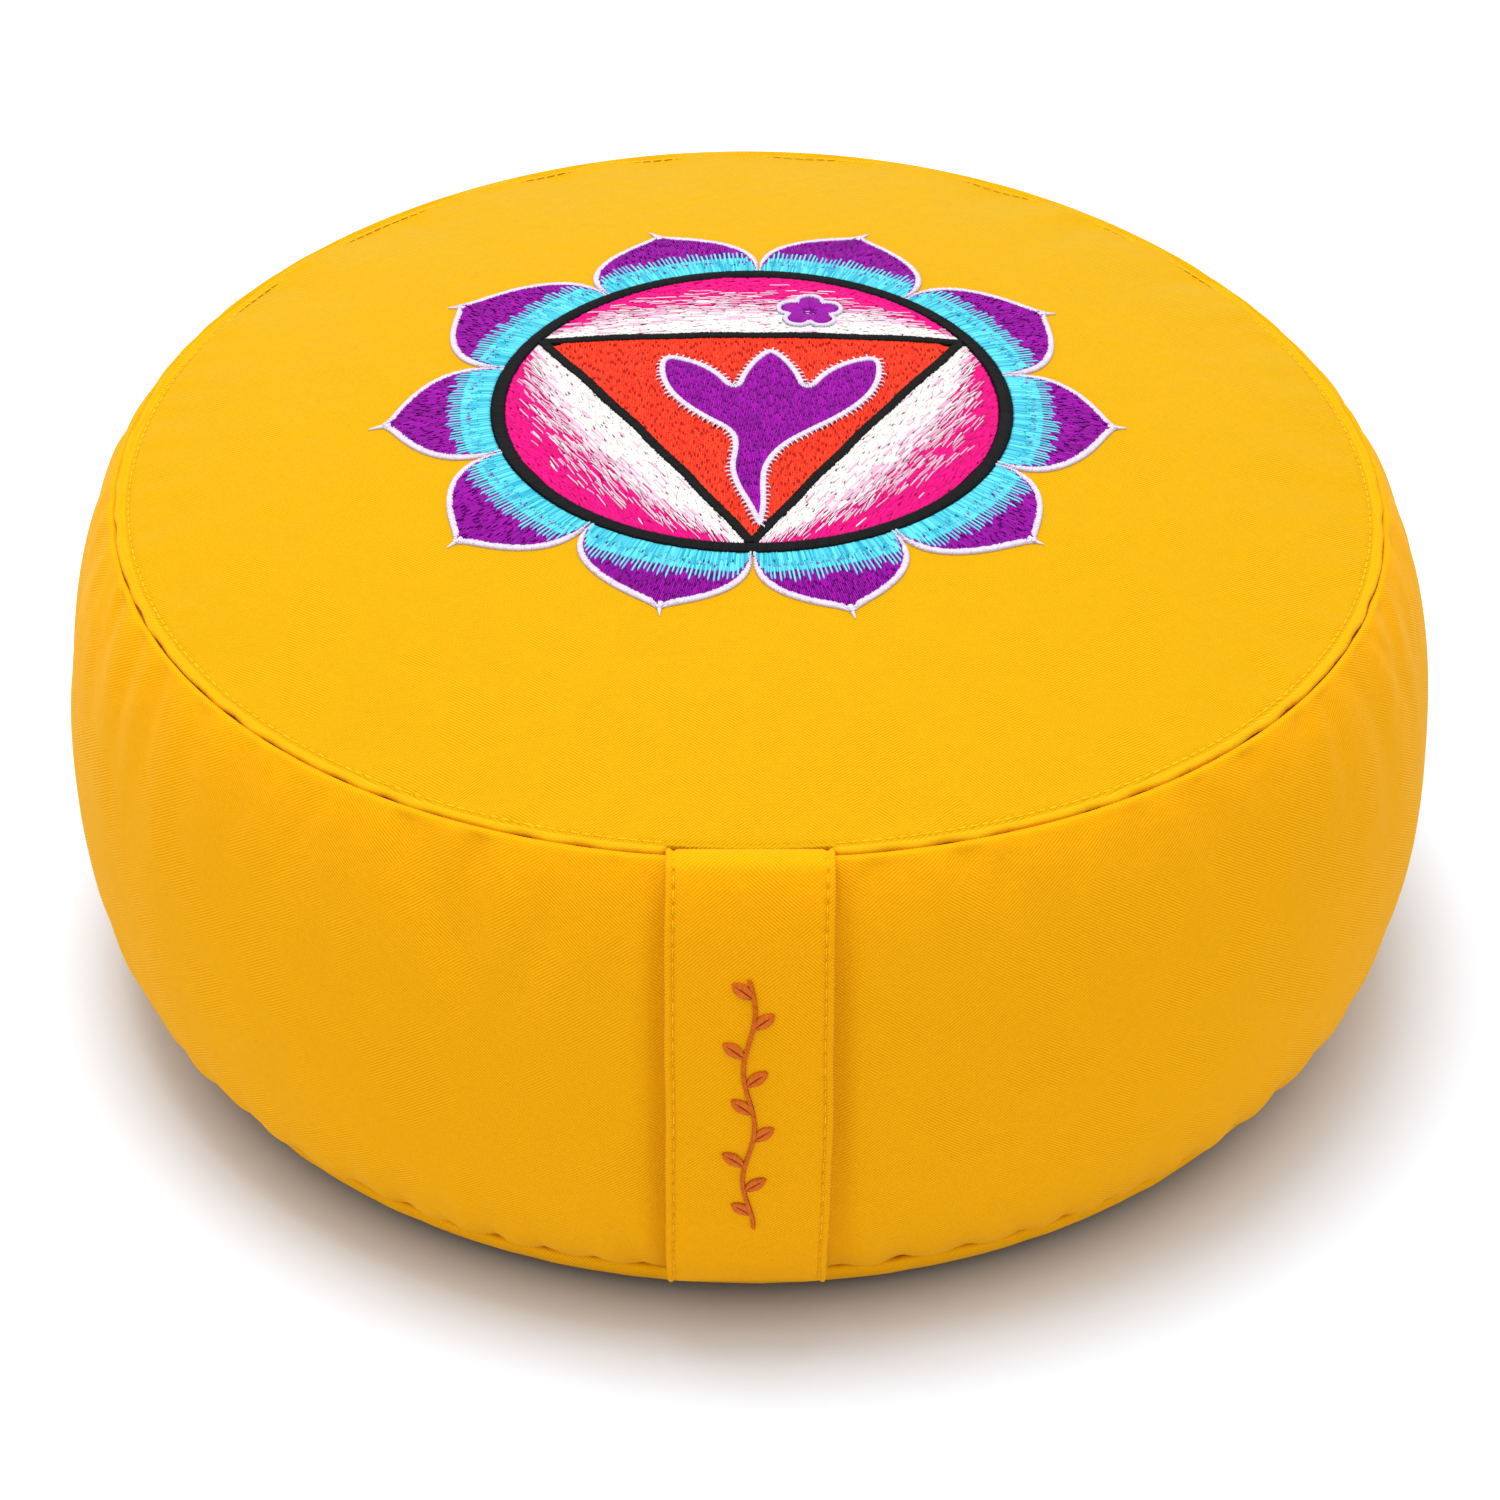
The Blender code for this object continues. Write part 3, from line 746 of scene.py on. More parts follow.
def strip(
    work: MeshWork,
    path: Array,
    section: Section,
    surface: Surface,
    finish: Cloth | Thread,
    closed: bool = False,
    widths: Array | float = 1.0,
    tone: float = 0.5,
) -> None:
    """Adds a closed strip that runs along a path on a surface.

    Args:
        work: The mesh to add to.
        path: Places on the surface, one row each.
        section: Its section.
        surface: Where a place on the surface lies.
        finish: What it is made of.
        closed: Whether the path is a loop.
        widths: How wide it is along the path, as a share of the section.
        tone: How light it is.
    """
    edge, out = section
    count, around = len(path), len(edge)
    side = sides_of(path, closed)
    scale = np.broadcast_to(np.asarray(widths, float), (count,))
    across = edge * scale[:, None]
    lift = out * np.sqrt(scale)[:, None]
    flat = path[:, None, :] + side[:, None, :] * across[:, :, None]
    points = surface(flat[..., 0].ravel(), flat[..., 1].ravel(), lift.ravel())
    start = work.add_points(points, tone)
    length = lengths_along(path)
    rows = np.arange(count if closed else count - 1)[:, None]
    columns = np.arange(around)[None, :]
    after, beside = (rows + 1) % count, (columns + 1) % around
    here, ahead = rows * around, after * around
    faces = np.stack([here + columns, here + beside, ahead + beside, ahead + columns], axis=-1)
    along = np.stack([length[rows], length[rows], length[after], length[after]], axis=-1)
    near, far = edge[columns], edge[beside]
    aside = np.stack([near, far, far, near], axis=-1)
    places = np.stack(np.broadcast_arrays(along, aside), axis=-1)
    work.add_faces(start + faces.reshape(-1, 4), places.reshape(-1, 4, 2), finish)
    if closed:
        return
    for row, turn in ((0, 1), (count - 1, -1)):
        middle = points[row * around : (row + 1) * around].mean(axis=0)
        hub = work.add_points(middle[None, :], tone)
        ring = start + row * around + np.arange(around)
        caps = np.stack([np.full(around, hub), np.roll(ring, -1), ring][::turn], axis=1)
        rim = np.stack([np.full(around, length[row]), edge], axis=1)
        centre = np.broadcast_to(rim.mean(axis=0), rim.shape)
        flat_caps = np.stack([centre, np.roll(rim, -1, axis=0), rim][::turn], axis=1)
        work.add_faces(caps, flat_caps, finish)


def domed_section(half_width: float, low: float, high: float, steps: int = 7) -> Section:
    """A low dome with a flat underside.

    Args:
        half_width: Half of its width.
        low: Height of its underside.
        high: Height of its top.
        steps: Points over the dome.

    Returns:
        The section.
    """
    turn = np.linspace(0, math.pi, steps)
    across = np.concatenate([half_width * np.cos(turn), [0.0]])
    out = np.concatenate([low + (high - low) * np.sin(turn) ** 0.5, [low]])
    return across, out


def pad(work: MeshWork, loop: Array, finish: Thread, cell: float, heights: Pair = (0.00003, 0.00032)) -> None:
    """Adds a thin closed pad under an area of the lotus's stitching, in the thread's deepest tone as painted
    shade in the gaps between the stitches.

    Args:
        work: The mesh to add to.
        loop: The area's outline, one place a row.
        finish: What it is made of.
        cell: Distance between the points inside it.
        heights: Heights of its underside and its face above the cloth.
    """
    least, most = loop.min(axis=0), loop.max(axis=0)
    columns = np.arange(least[0] + cell / 2, most[0], cell)
    rows = np.arange(least[1] + cell / 2, most[1], cell)
    inside = np.array([(x, y) for x in columns for y in rows if covers(loop, x, y)]).reshape(-1, 2)
    near = np.linalg.norm(inside[:, None, :] - loop[None, :, :], axis=2).min(axis=1)
    places = np.vstack([loop, inside[near > cell * 0.35]])
    edges = [(i, (i + 1) % len(loop)) for i in range(len(loop))]
    found = geometry.delaunay_2d_cdt([Vector(p) for p in places], edges, [], 1, 1e-8)
    flat = np.array([tuple(p) for p in found[0]])
    sheet = np.array([tuple(f) for f in found[2] if len(f) == 3])
    first, second, third = (flat[sheet[:, i]] for i in range(3))
    out, over = second - first, third - first
    turn = out[:, 0] * over[:, 1] - out[:, 1] * over[:, 0]
    sheet = np.where((turn < 0)[:, None], sheet[:, ::-1], sheet)
    below_places, top_places = (LOTUS.surface(*flat.T, np.full(len(flat), height)) for height in heights)
    # painted shade: the pad takes the thread's deepest tone, so the gaps between the stitches show dark
    top = work.add_points(top_places, 0.0)
    below = work.add_points(below_places, 0.0)
    work.add_faces(top + sheet, flat[sheet], finish)
    work.add_faces(below + sheet[:, ::-1], flat[sheet[:, ::-1]], finish)
    sides = np.concatenate([sheet[:, [0, 1]], sheet[:, [1, 2]], sheet[:, [2, 0]]])
    known = {tuple(side) for side in sides.tolist()}
    rim = np.array([side for side in sides.tolist() if (side[1], side[0]) not in known])
    walls = np.stack([top + rim[:, 1], top + rim[:, 0], below + rim[:, 0], below + rim[:, 1]], axis=1)
    work.add_faces(walls, flat[rim[:, [1, 0, 0, 1]]], finish)


def covers(loop: Array, x: float, y: float) -> bool:
    """Tells whether a closed loop holds a place."""
    after = np.roll(loop, -1, axis=0)
    straddle = (loop[:, 1] > y) != (after[:, 1] > y)
    with np.errstate(divide="ignore", invalid="ignore"):
        cross = loop[:, 0] + (y - loop[:, 1]) * (after[:, 0] - loop[:, 0]) / (after[:, 1] - loop[:, 1])
    return bool((straddle & (x < cross)).sum() % 2)


def spans(loop: Array, origin: Array, direction: Array) -> list[Pair]:
    """Finds where a line runs inside a closed loop.

    Args:
        loop: The loop, one place a row.
        origin: A place on the line.
        direction: The line's direction, of length 1.

    Returns:
        Start and end of each stretch, as distances from the origin.
    """
    edge = np.roll(loop, -1, axis=0) - loop
    gap = loop - origin
    bottom = direction[0] * edge[:, 1] - direction[1] * edge[:, 0]
    bottom = np.where(np.abs(bottom) < 1e-12, 1e-12, bottom)
    along = (gap[:, 0] * edge[:, 1] - gap[:, 1] * edge[:, 0]) / bottom
    share = (gap[:, 0] * direction[1] - gap[:, 1] * direction[0]) / bottom
    hits = np.sort(along[(share >= 0) & (share < 1)])
    return [(hits[i], hits[i + 1]) for i in range(0, len(hits) - 1, 2)]


STRAND_ROUND = np.array([(-0.5, 0.0), (-0.30, 0.9), (0.30, 0.9), (0.5, 0.0)])  # across and out, as shares
STRAND_ROWS = np.array(  # place along the strand, girth and how far it has risen, as shares
    [(0.0, 0.20, 0.0), (0.14, 0.94, 0.92), (0.86, 0.94, 0.92), (1.0, 0.20, 0.0)]
)
STRAND_FLATNESS = 0.42  # thickness of a strand as a share of its width
TONE_SHIFT = 0.05  # how far a stitch's tone moves its place on the thread's map


@dataclass
class Stitches:
    """Single stitches, each a closed tapered strand of thread between two places on a surface."""

    rows: list[Floats] = field(default_factory=list)  # what add() is given, in its order

    def add(
        self, start: Sequence[float], end: Sequence[float], width: float, tone: float, low: float, high: float
    ) -> None:
        """Adds a stitch.

        Args:
            start: Where it starts.
            end: Where it ends.
            width: Its width.
            tone: How light it is.
            low: Height of its ends above the surface.
            high: Height of its middle.
        """
        self.rows.append((*start, *end, width, tone, low, high))

    def sew(self, work: MeshWork, finish: Thread, surface: Surface = LOTUS.surface) -> None:
        """Adds the strands to a mesh.

        Args:
            work: The mesh.
            finish: The thread.
            surface: Where a place on the surface lies.
        """
        table = np.array(self.rows)
        start, end = table[:, 0:2], table[:, 2:4]
        width, tone, low, high = table[:, 4:].T
        run = end - start
        length = np.linalg.norm(run, axis=1)
        side = np.stack([-run[:, 1], run[:, 0]], axis=1) / length[:, None]
        share, girth, arch = STRAND_ROWS.T
        middle = start[:, None] + run[:, None] * share[:, None]
        thick = width * STRAND_FLATNESS
        across = STRAND_ROUND[:, 0] * girth[:, None] * width[:, None, None]
        base = low[:, None] + (high - thick - low)[:, None] * arch
        bulge = STRAND_ROUND[:, 1] * girth[:, None] * thick[:, None, None]
        out = base[:, :, None] + bulge
        flat = middle[:, :, None, :] + side[:, None, None, :] * across[..., None]
        points = surface(flat[..., 0].ravel(), flat[..., 1].ravel(), out.ravel())
        rows, around = len(STRAND_ROWS), len(STRAND_ROUND)
        first = work.add_points(points, np.repeat(tone, rows * around))
        here = np.arange(rows - 1)[:, None] * around
        column = np.arange(around)[None, :]
        beside = (column + 1) % around
        ahead = here + around
        sides = np.stack([here + column, ahead + column, ahead + beside, here + beside], axis=-1)
        caps = np.array([[0, 1, 2, 3], np.arange(3, -1, -1) + (rows - 1) * around])
        one = np.vstack([sides.reshape(-1, 4), caps])
        offset = first + np.arange(len(start))[:, None, None] * rows * around
        faces = (one[None] + offset).reshape(-1, 4)
        along = (share[None, :, None] * length[:, None, None] + 0 * across).reshape(len(start), -1)
        aside = np.broadcast_to(across, (len(start), rows, around)).reshape(len(start), -1)
        places = np.stack([along[:, one] + tone[:, None, None] * TONE_SHIFT, aside[:, one]], axis=-1)
        work.add_faces(faces, places.reshape(-1, 4, 2), finish)


def fill_lines(
    stitches: Stitches,
    lines: Sequence[tuple[Array, Array, float, float]],
    chance: Chance,
    length: float,
    width: float,
    heights: Pair,
    gap_share: float = 0.2,
    gap: float = 0.00045,
) -> None:
    """Breaks lines into stitches that follow each other.

    Args:
        stitches: Where they are kept.
        lines: Each line's origin, direction, start and end.
        chance: Source of the hand's unevenness.
        length: Usual length of a stitch.
        width: Width of the thread.
        heights: Heights of the stitches' ends and middles.
        gap_share: How often a gap is left between two stitches.
        gap: Its length.
    """
    for origin, direction, begin, finish in lines:
        place = begin
        first = True
        while place < finish - 0.0006:
            step = length * chance.uniform(0.7, 1.3)
            if first:
                step *= chance.uniform(0.35, 1.0)
            stop = min(place + step, finish)
            if finish - stop < length * 0.25:
                stop = finish
            sway = left_of(direction) * (chance.uniform(-0.06, 0.06) * width)
            start = origin + direction * place + sway
            end = origin + direction * stop - sway
            girth = width * chance.uniform(0.92, 1.12)
            tone = chance.uniform(0.2, 0.85)
            lift = heights[1] + chance.uniform(-0.00004, 0.00004)
            stitches.add(start, end, girth, tone, heights[0], lift)
            place = stop + (gap if chance.uniform() < gap_share else -0.0003)
            first = False


def parallel_lines(loop: Array, direction: float, pitch: float) -> list[tuple[Array, Array, float, float]]:
    """Fills a loop with parallel lines.

    Args:
        loop: The loop, one place a row.
        direction: Their angle from +X.
        pitch: Distance between them.

    Returns:
        Each line's origin, direction, start and end.
    """
    heading = np.array([math.cos(direction), math.sin(direction)])
    normal = left_of(heading)
    reach = loop @ normal
    lines = []
    for offset in np.arange(reach.min() + pitch / 2, reach.max(), pitch):
        origin = normal * offset
        lines += [(origin, heading, begin, end) for begin, end in spans(loop, origin, heading)]
    return lines


def satin(
    stitches: Stitches,
    path: Array,
    half_widths: Array | float,
    chance: Chance,
    heights: Pair,
    width: float,
    slant: float = 0.0,
    ragged: float = 0.0,
    closed: bool = False,
) -> None:
    """Covers a path with stitches that cross it side by side.

    Args:
        stitches: Where they are kept.
        path: The path's middle, with one place for each stitch.
        half_widths: Half of the width of the covered band.
        chance: Source of the hand's unevenness.
        heights: Heights of the stitches' ends and middles.
        width: Width of the thread.
        slant: How far a stitch leans along the path, as a share of its length.
        ragged: How far the stitches' ends differ.
        closed: Whether the path is a loop.
    """
    side = sides_of(path, closed)
    ahead = np.stack([side[:, 1], -side[:, 0]], axis=1)
    half = np.broadcast_to(np.asarray(half_widths, float), (len(path),))
    for place, left, on, reach in zip(path, side, ahead, half):
        lean = on * reach * slant
        start = place - left * (reach + chance.uniform(-ragged, ragged)) - lean
        end = place + left * (reach + chance.uniform(-ragged, ragged)) + lean
        girth = width * chance.uniform(0.95, 1.15)
        tone = chance.uniform(0.25, 0.85)
        stitches.add(start, end, girth, tone, heights[0], heights[1] + chance.uniform(-0.00003, 0.00003))


# ---- the sewn pieces
@dataclass
class BandCushion:
    """The filled body with the gathered side band as its face."""

    columns: int = 720
    rows: int = 84
    top_share: float = 0.9970
    base_share: float = 0.010
    cloth_radius: float = 0.158  # at which the cloth's own pattern is to scale
    fill: float = 0.85
    small_top_tucks: Tucks = Tucks(74, 21, 0.0013, 0.0030, 0.018, 0.002, 0.45)
    long_top_tucks: Tucks = Tucks(34, 22, 0.0019, 0.0062, 0.040, 0.006, 0.55)
    puffs: float = 35.5  # half the number of puffs along the base seam
    puff_depth: float = 0.0019
    puff_sag: float = 0.0011
    lip_in: float = 0.0012  # how far the edge is drawn in at the base seam
    puff_reach: float = 0.0105
    lip_rise: float = 0.0005
    lip_reach: float = 0.0028
    calm: float = 0.8  # how much the gathers fade at the top seam
    calm_reach: float = 0.0022
    strap_dent: float = 0.0015
    dent_place: float = 0.0198  # distance from the strap's middle
    dent_width: float = 0.0032
    tuck_under: float = 0.0020  # how far the face dips under the strap's upper end
    tuck_reach: float = 0.0020
    under_strap: Pair = (0.0158, 0.0182)  # half widths between which that dip ends
    twist: float = 6.0  # how far the swells turn round the cushion for each metre up
    swells: Waves = waves(cos5=0.00022, sin7=0.00020, cos11=0.00016, sin16=0.00012)
    puff_drift: Waves = waves(sin3=1.1, cos7=0.7, sin12=0.4)
    crown_radii: Floats = (0.0, 0.03, 0.06, 0.085, 0.11, 0.13, 0.1465)
    foot_turns: Floats = (0, 20, 40, 60, 80, 90)
    foot_radii: Floats = (0.10, 0.06, 0.0)

    def build(self) -> Object:
        angle = TAU * np.arange(self.columns) / self.columns
        turn = TAU * np.arange(self.columns + 1) / self.columns * self.cloth_radius
        surface = RingSurface(Cloth.BAND)
        length, before = 0.0, (0.0, 0.0)
        for radius, height, face in self._profile():
            if radius == 0.0:
                surface.add_ring(np.array([[0.0, 0.0, height]]), np.array([[0.0, length], [0.0, length]]))
                before = (radius, height)
                continue
            length += math.hypot(radius - before[0], height - before[1])
            before = (radius, height)
            ring = SHAPE.settled(round_places(radius, angle, height))
            if face:
                ring = self._gathered(ring, angle, height)
            surface.add_ring(ring, np.stack([turn, np.full_like(turn, -length)], axis=1))
        piece = surface.to_piece("band_cushion", "band_cloth", "side_band")
        return piece

    def _profile(self) -> list[tuple[float, float, bool]]:
        """The body's outline from crown to foot: radius, height and whether it is the visible face."""
        inset = SHAPE.panel_thickness + SHAPE.piece_gap
        edge = SHAPE.base_seam_height + SHAPE.piece_gap
        crown = [(radius, SHAPE.crown_height(radius) - inset) for radius in self.crown_radii]
        crown.append(SHAPE.ridge_point(-0.0002, -(SHAPE.ridge_radius + SHAPE.piece_gap)))
        crown.append(SHAPE.ridge_point(0.0015, -0.0003))
        even = np.linspace(0, 1, self.rows)
        shares = 0.6 * even + 0.4 * (0.5 - 0.5 * np.cos(math.pi * even))  # closer rows near the seams
        down = self.top_share + (self.base_share - self.top_share) * shares
        face = [SHAPE.band_point(share) for share in down]
        foot = [SHAPE.base_point(turn, inset) for turn in self.foot_turns]
        under = [(SHAPE.base_seam_radius, edge), (foot[0][0], edge), *foot[1:]]
        under += [(radius, foot[-1][1]) for radius in self.foot_radii]
        parts = ((crown, False), (face, True), (under, False))
        return [(float(radius), float(height), seen) for part, seen in parts for radius, height in part]

    def _gathered(self, ring: Array, angle: Array, height: float) -> Array:
        """Adds the finer gathers and the body's soft swells to a ring of the face.

        Args:
            ring: Its places.
            angle: Its angles.
            height: Its height before it settled.

        Returns:
            The moved places.
        """
        free = SHAPE.clear_of_strap(ring[:, 0], ring[:, 1])
        below = np.full_like(angle, SHAPE.top_seam_height - height)
        above = np.full_like(angle, height - SHAPE.base_seam_height)
        drawn = self.small_top_tucks.depth_at(angle, below, SHAPE.top_seam_radius)
        drawn = drawn + self.long_top_tucks.depth_at(angle, below, SHAPE.top_seam_radius)
        drawn = drawn * (1 - self.calm * np.exp(-((below / self.calm_reach) ** 2)))
        drift = wave(angle, self.puff_drift) + above * 95 * np.sin(2 * angle + 0.6)
        puff = np.abs(np.sin(self.puffs * angle + drift))
        drawn = drawn + self.puff_depth * (0.8 - puff) * np.exp(-above / self.puff_reach)
        aside, front = np.abs(ring[:, 0]), ring[:, 1] < 0
        beside = np.exp(-(((aside - self.dent_place) / self.dent_width) ** 2)) * front
        rise = SHAPE.top_seam_height - SHAPE.base_seam_height
        middle = math.sin(math.pi * np.clip(above[0] / rise, 0, 1))
        swell = wave(angle + self.twist * height, self.swells) * middle
        out = round_places(1.0, angle, 0.0)
        moved = ring + out * ((swell - drawn) * free - self.strap_dent * beside * middle**0.4)[:, None]
        covered = np.where(front, 1 - smooth(aside, *self.under_strap), 0.0)
        moved[:, 2] -= self.tuck_under * covered * np.exp(-below / self.tuck_reach)
        lip = np.exp(-above / self.lip_reach)
        moved -= out * (self.lip_in * lip)[:, None]
        moved[:, 2] += (self.lip_rise - self.puff_sag * puff * free) * lip
        return moved


@dataclass
class TopCover:
    """The round top cloth, with a turned edge that is topstitched into a thin ridge."""

    stitches: int = 336
    fine: int = 4  # columns a stitch along the edge
    face_rows: int = 40
    fine_from: float = 0.1360
    stitch_dip: float = 0.00034
    stitch_width: float = 0.00055
    thread_width: float = 0.00050
    cord_size: float = 0.78  # thickness of the turned edge, as a share of its solid's
    cord_rise: float = 0.0003  # how far the turned edge stands proud of its solid
    crease: float = 0.00035
    flat_diameter: float = 0.316
    rim_tucks: Tucks = Tucks(72, 31, 0.00055, 0.0036, 0.011, 0.001)
    long_tucks: Tucks = Tucks(30, 32, 0.00060, 0.0080, 0.026, 0.004)
    notch_half: float = 0.0186  # where the strap is sewn in, the turned edge is thin and lies lower
    notch_blend: float = 0.0007
    notch_drop: float = 0.0012
    notch_in: float = 0.0016
    notch_thin: float = 0.62
    stitch_gap: float = 0.0185  # the strap hides the row of stitches this far to each side
    back_sink: float = 0.0005  # how far the turned edge sinks at the back
    bump_height: float = 0.0008
    edge_stretch: float = 0.0035  # how much longer the cloth is at each row round the turned edge
    edge_radii: Floats = (0.1385, 0.1410, 0.1432, 0.1450, 0.1462, 0.1470, 0.1475, 0.1479, 0.1483, 0.1487)
    under_radii: Floats = (0.1400, 0.120, 0.085, 0.045)
    pinches: Waves = waves(sin43=0.5, cos71=0.5, sin113=0.35)
    wavers: Waves = waves(cos37=0.00010, sin58=0.00012, sin79=0.00012, cos23=0.00010)
    bumps: Waves = waves(sin17=0.45, cos23=0.40, sin31=0.35)

    @staticmethod
    def front(y: Array) -> Array:
        """1 at the front and sides, and 0 at the back, where the edge sinks and its stitches draw in less."""
        return smooth(-y, -0.115, -0.035)

    def back_bumps(self, angle: Array, front: Array) -> Array:
        """Height of the soft bumps that the filling makes along the back of the rim."""
        return self.bump_height * (1 - front) * wave(angle, self.bumps)

    @property
    def groove_radius(self) -> float:
        """Radius of the row of topstitching."""
        return SHAPE.top_seam_radius - SHAPE.groove_inset

    def face_height(self, radius: Array, angle: Array) -> Array:
        """Height of the face with its stitched groove, before it settles.

        Args:
            radius: Distances from the axis.
            angle: Angles round the cushion.

        Returns:
            The heights.
        """
        height = SHAPE.crown_height(radius)
        apart = (radius - self.groove_radius) / self.stitch_width
        groove = SHAPE.groove_depth * np.exp(-(apart**2))
        beat = 0.5 + 0.5 * np.cos(angle * self.stitches)
        hole = self.stitch_dip * beat**3 * np.exp(-((apart * 1.1) ** 2))
        free = SHAPE.clear_of_strap(radius * np.sin(angle), -radius * np.cos(angle))
        inside = np.clip(self.groove_radius - radius, 0, None)
        dip = self.rim_tucks.depth_at(angle, inside, SHAPE.top_seam_radius)
        dip = dip + self.long_tucks.depth_at(angle, inside, SHAPE.top_seam_radius)
        dip = np.where(radius < self.groove_radius, dip, 0) * free
        crease = self.crease * smooth(radius, self.groove_radius + 0.0003, self.groove_radius + 0.0008)
        front = self.front(-radius * np.cos(angle))
        bump = self.back_bumps(angle, front) * smooth(radius, 0.118, 0.146)
        drawn = (groove + hole + crease) * (0.3 + 0.7 * front)
        return height - drawn - bump - dip * smooth(radius, 0.104, 0.122)

    def ring_at(self, radius: float, count: int, drop: float = 0.0) -> Array:
        """A ring of the face, or of the underside where a drop is given."""
        angle = TAU * np.arange(count) / count
        radii = np.full(count, radius)
        height = SHAPE.crown_height(radii) - drop if drop else self.face_height(radii, angle)
        return SHAPE.settled(round_places(radii, angle, height))

    def build(self) -> Object:
        surface = RingSurface(Cloth.TOP)
        dense = self.stitches * self.fine
        centre = SHAPE.settled(np.array([[0.0, -1e-6, float(SHAPE.crown_height(0.0))]]))
        surface.add_ring(centre, flat_places(centre))
        for radius in np.linspace(0, self.fine_from, self.face_rows + 1)[1:]:
            ring = self.ring_at(float(radius), self.stitches)
            surface.add_ring(ring, flat_places(ring))
        for radius in self.edge_radii:
            ring = self.ring_at(radius, dense)
            surface.add_ring(ring, flat_places(ring))
        rim = flat_places(ring)
        stretch = 1.0
        # painted light: the turned edge takes a lighter copy of the cloth, a painted highlight along the ridge
        surface.finish = Cloth.EDGE
        for turn in np.radians(np.linspace(163, -88, 16)):
            stretch += self.edge_stretch
            surface.add_ring(self._ridge_ring(turn, dense), rim * stretch)
        surface.finish = Cloth.TOP
        for radius, count in ((0.1465, dense), *((radius, self.stitches) for radius in self.under_radii)):
            ring = self.ring_at(radius, count, SHAPE.panel_thickness)
            surface.add_ring(ring, flat_places(ring))
        centre = centre - (0, 0, SHAPE.panel_thickness)
        surface.add_ring(centre, flat_places(centre))
        piece = surface.to_piece("top_cover", "panel_cloth", "top_panel")
        return piece

    def _ridge_ring(self, turn: float, count: int) -> Array:
        """A ring of the turned edge, which flattens and dips where the strap is sewn in.

        Args:
            turn: Angle round the ridge's section.
            count: Points in the ring.

        Returns:
            Its places.
        """
        angle = TAU * np.arange(count) / count
        x, y = SHAPE.top_seam_radius * np.sin(angle), -SHAPE.top_seam_radius * np.cos(angle)
        outside = smooth(np.abs(x), self.notch_half, self.notch_half + self.notch_blend)
        notch = np.where(y < 0, 1 - outside, 0.0)
        beat = 0.5 + 0.5 * np.cos(angle * self.stitches)
        pinch = 1 - 0.07 * beat**2 + 0.05 * wave(angle, self.pinches)
        front = self.front(y)
        size = SHAPE.ridge_radius * self.cord_size * (pinch - self.notch_thin * notch)
        rise = self.cord_rise * front - self.back_sink * (1 - front)
        radius, height = SHAPE.ridge_point(size * math.cos(turn), size * math.sin(turn) + rise)
        height = height - self.back_bumps(angle, front)
        waver = wave(angle, self.wavers)
        radius = radius + waver - notch * self.notch_in
        height = height + waver[::-1] - notch * self.notch_drop
        return SHAPE.settled(round_places(radius, angle, height))

    def topstitching(self) -> Object:
        """Sews the row of stitches that holds the turned edge."""
        stitches = Stitches()
        chance = Chance(41)
        step = TAU / self.stitches
        for number in range(self.stitches):
            middle = (number + 0.5) * step
            if abs(math.sin(middle)) * self.groove_radius < self.stitch_gap and math.cos(middle) > 0:
                continue
            half = step * 0.40 * self.groove_radius
            wander = chance.uniform(-0.00008, 0.00008)
            at = middle * self.groove_radius
            tone = chance.uniform(0.25, 0.85)
            start, end = (at - half, wander), (at + half, -wander)
            stitches.add(start, end, self.thread_width, tone, -0.00022, 0.00022)

        def surface(along: Array, inward: Array, lift: Array) -> Array:
            """Lies along the row of topstitching."""
            angle = along / self.groove_radius
            radius = self.groove_radius - inward
            height = SHAPE.crown_height(radius) - SHAPE.groove_depth + lift
            return SHAPE.settled(round_places(radius, angle, height))

        work = MeshWork()
        stitches.sew(work, Thread.YELLOW, surface)
        return work.to_piece("top_seam_stitches", "panel_cloth")


@dataclass
class BaseCover:
    """The round base cloth, flat where the cushion rests and turned up to the base seam."""

    columns: int = 360
    flat_diameter: float = 0.308
    swell: float = 0.008  # how far the edge stands out beyond its solid, as a share of its radius
    ripple: float = 0.0016
    ripples: Waves = waves(sin37=0.5, cos61=0.5, sin90=0.4)
    inner_radii: Floats = (0.0, 0.05, 0.10)
    inner_turns: Floats = (90, 70, 50, 30, 12)
    outer_turns: Floats = (8, 16, 24, 34, 44, 54, 64, 74, 82, 90)
    outer_radii: Floats = (0.115, 0.09, 0.06, 0.03, 0.0)

    def build(self) -> Object:
        angle = TAU * np.arange(self.columns) / self.columns
        surface = RingSurface(Cloth.BASE)
        thick = SHAPE.panel_thickness
        inner = [(radius, thick) for radius in self.inner_radii]
        inner += [SHAPE.base_point(turn, thick) for turn in self.inner_turns]
        inner.append((SHAPE.base_point(0, thick)[0], SHAPE.base_seam_height))
        outer = [(SHAPE.base_seam_radius - SHAPE.piece_gap, SHAPE.base_seam_height)]
        outer += [SHAPE.base_point(turn) for turn in self.outer_turns]
        outer += [(radius, 0.0) for radius in self.outer_radii]
        length, before = 0.0, inner[0]
        for radius, height in inner + outer:
            if radius == 0.0:
                surface.add_ring(np.array([[0.0, 0.0, height]]), np.zeros((2, 2)))
                continue
            ring = round_places(radius, angle, height)
            out = np.clip(height / SHAPE.base_seam_height, 0, 1)
            spread = 1 + out * (self.swell + self.ripple * wave(angle, self.ripples))
            ring[:, :2] *= spread[:, None]
            length += math.hypot(radius - before[0], height - before[1])
            before = (radius, height)
            far = radius if height < 0.5 * thick else length
            surface.add_ring(ring, flat_places(ring) / radius * far)
        piece = surface.to_piece("base_cover", "base_cloth", "bottom_panel")
        return piece


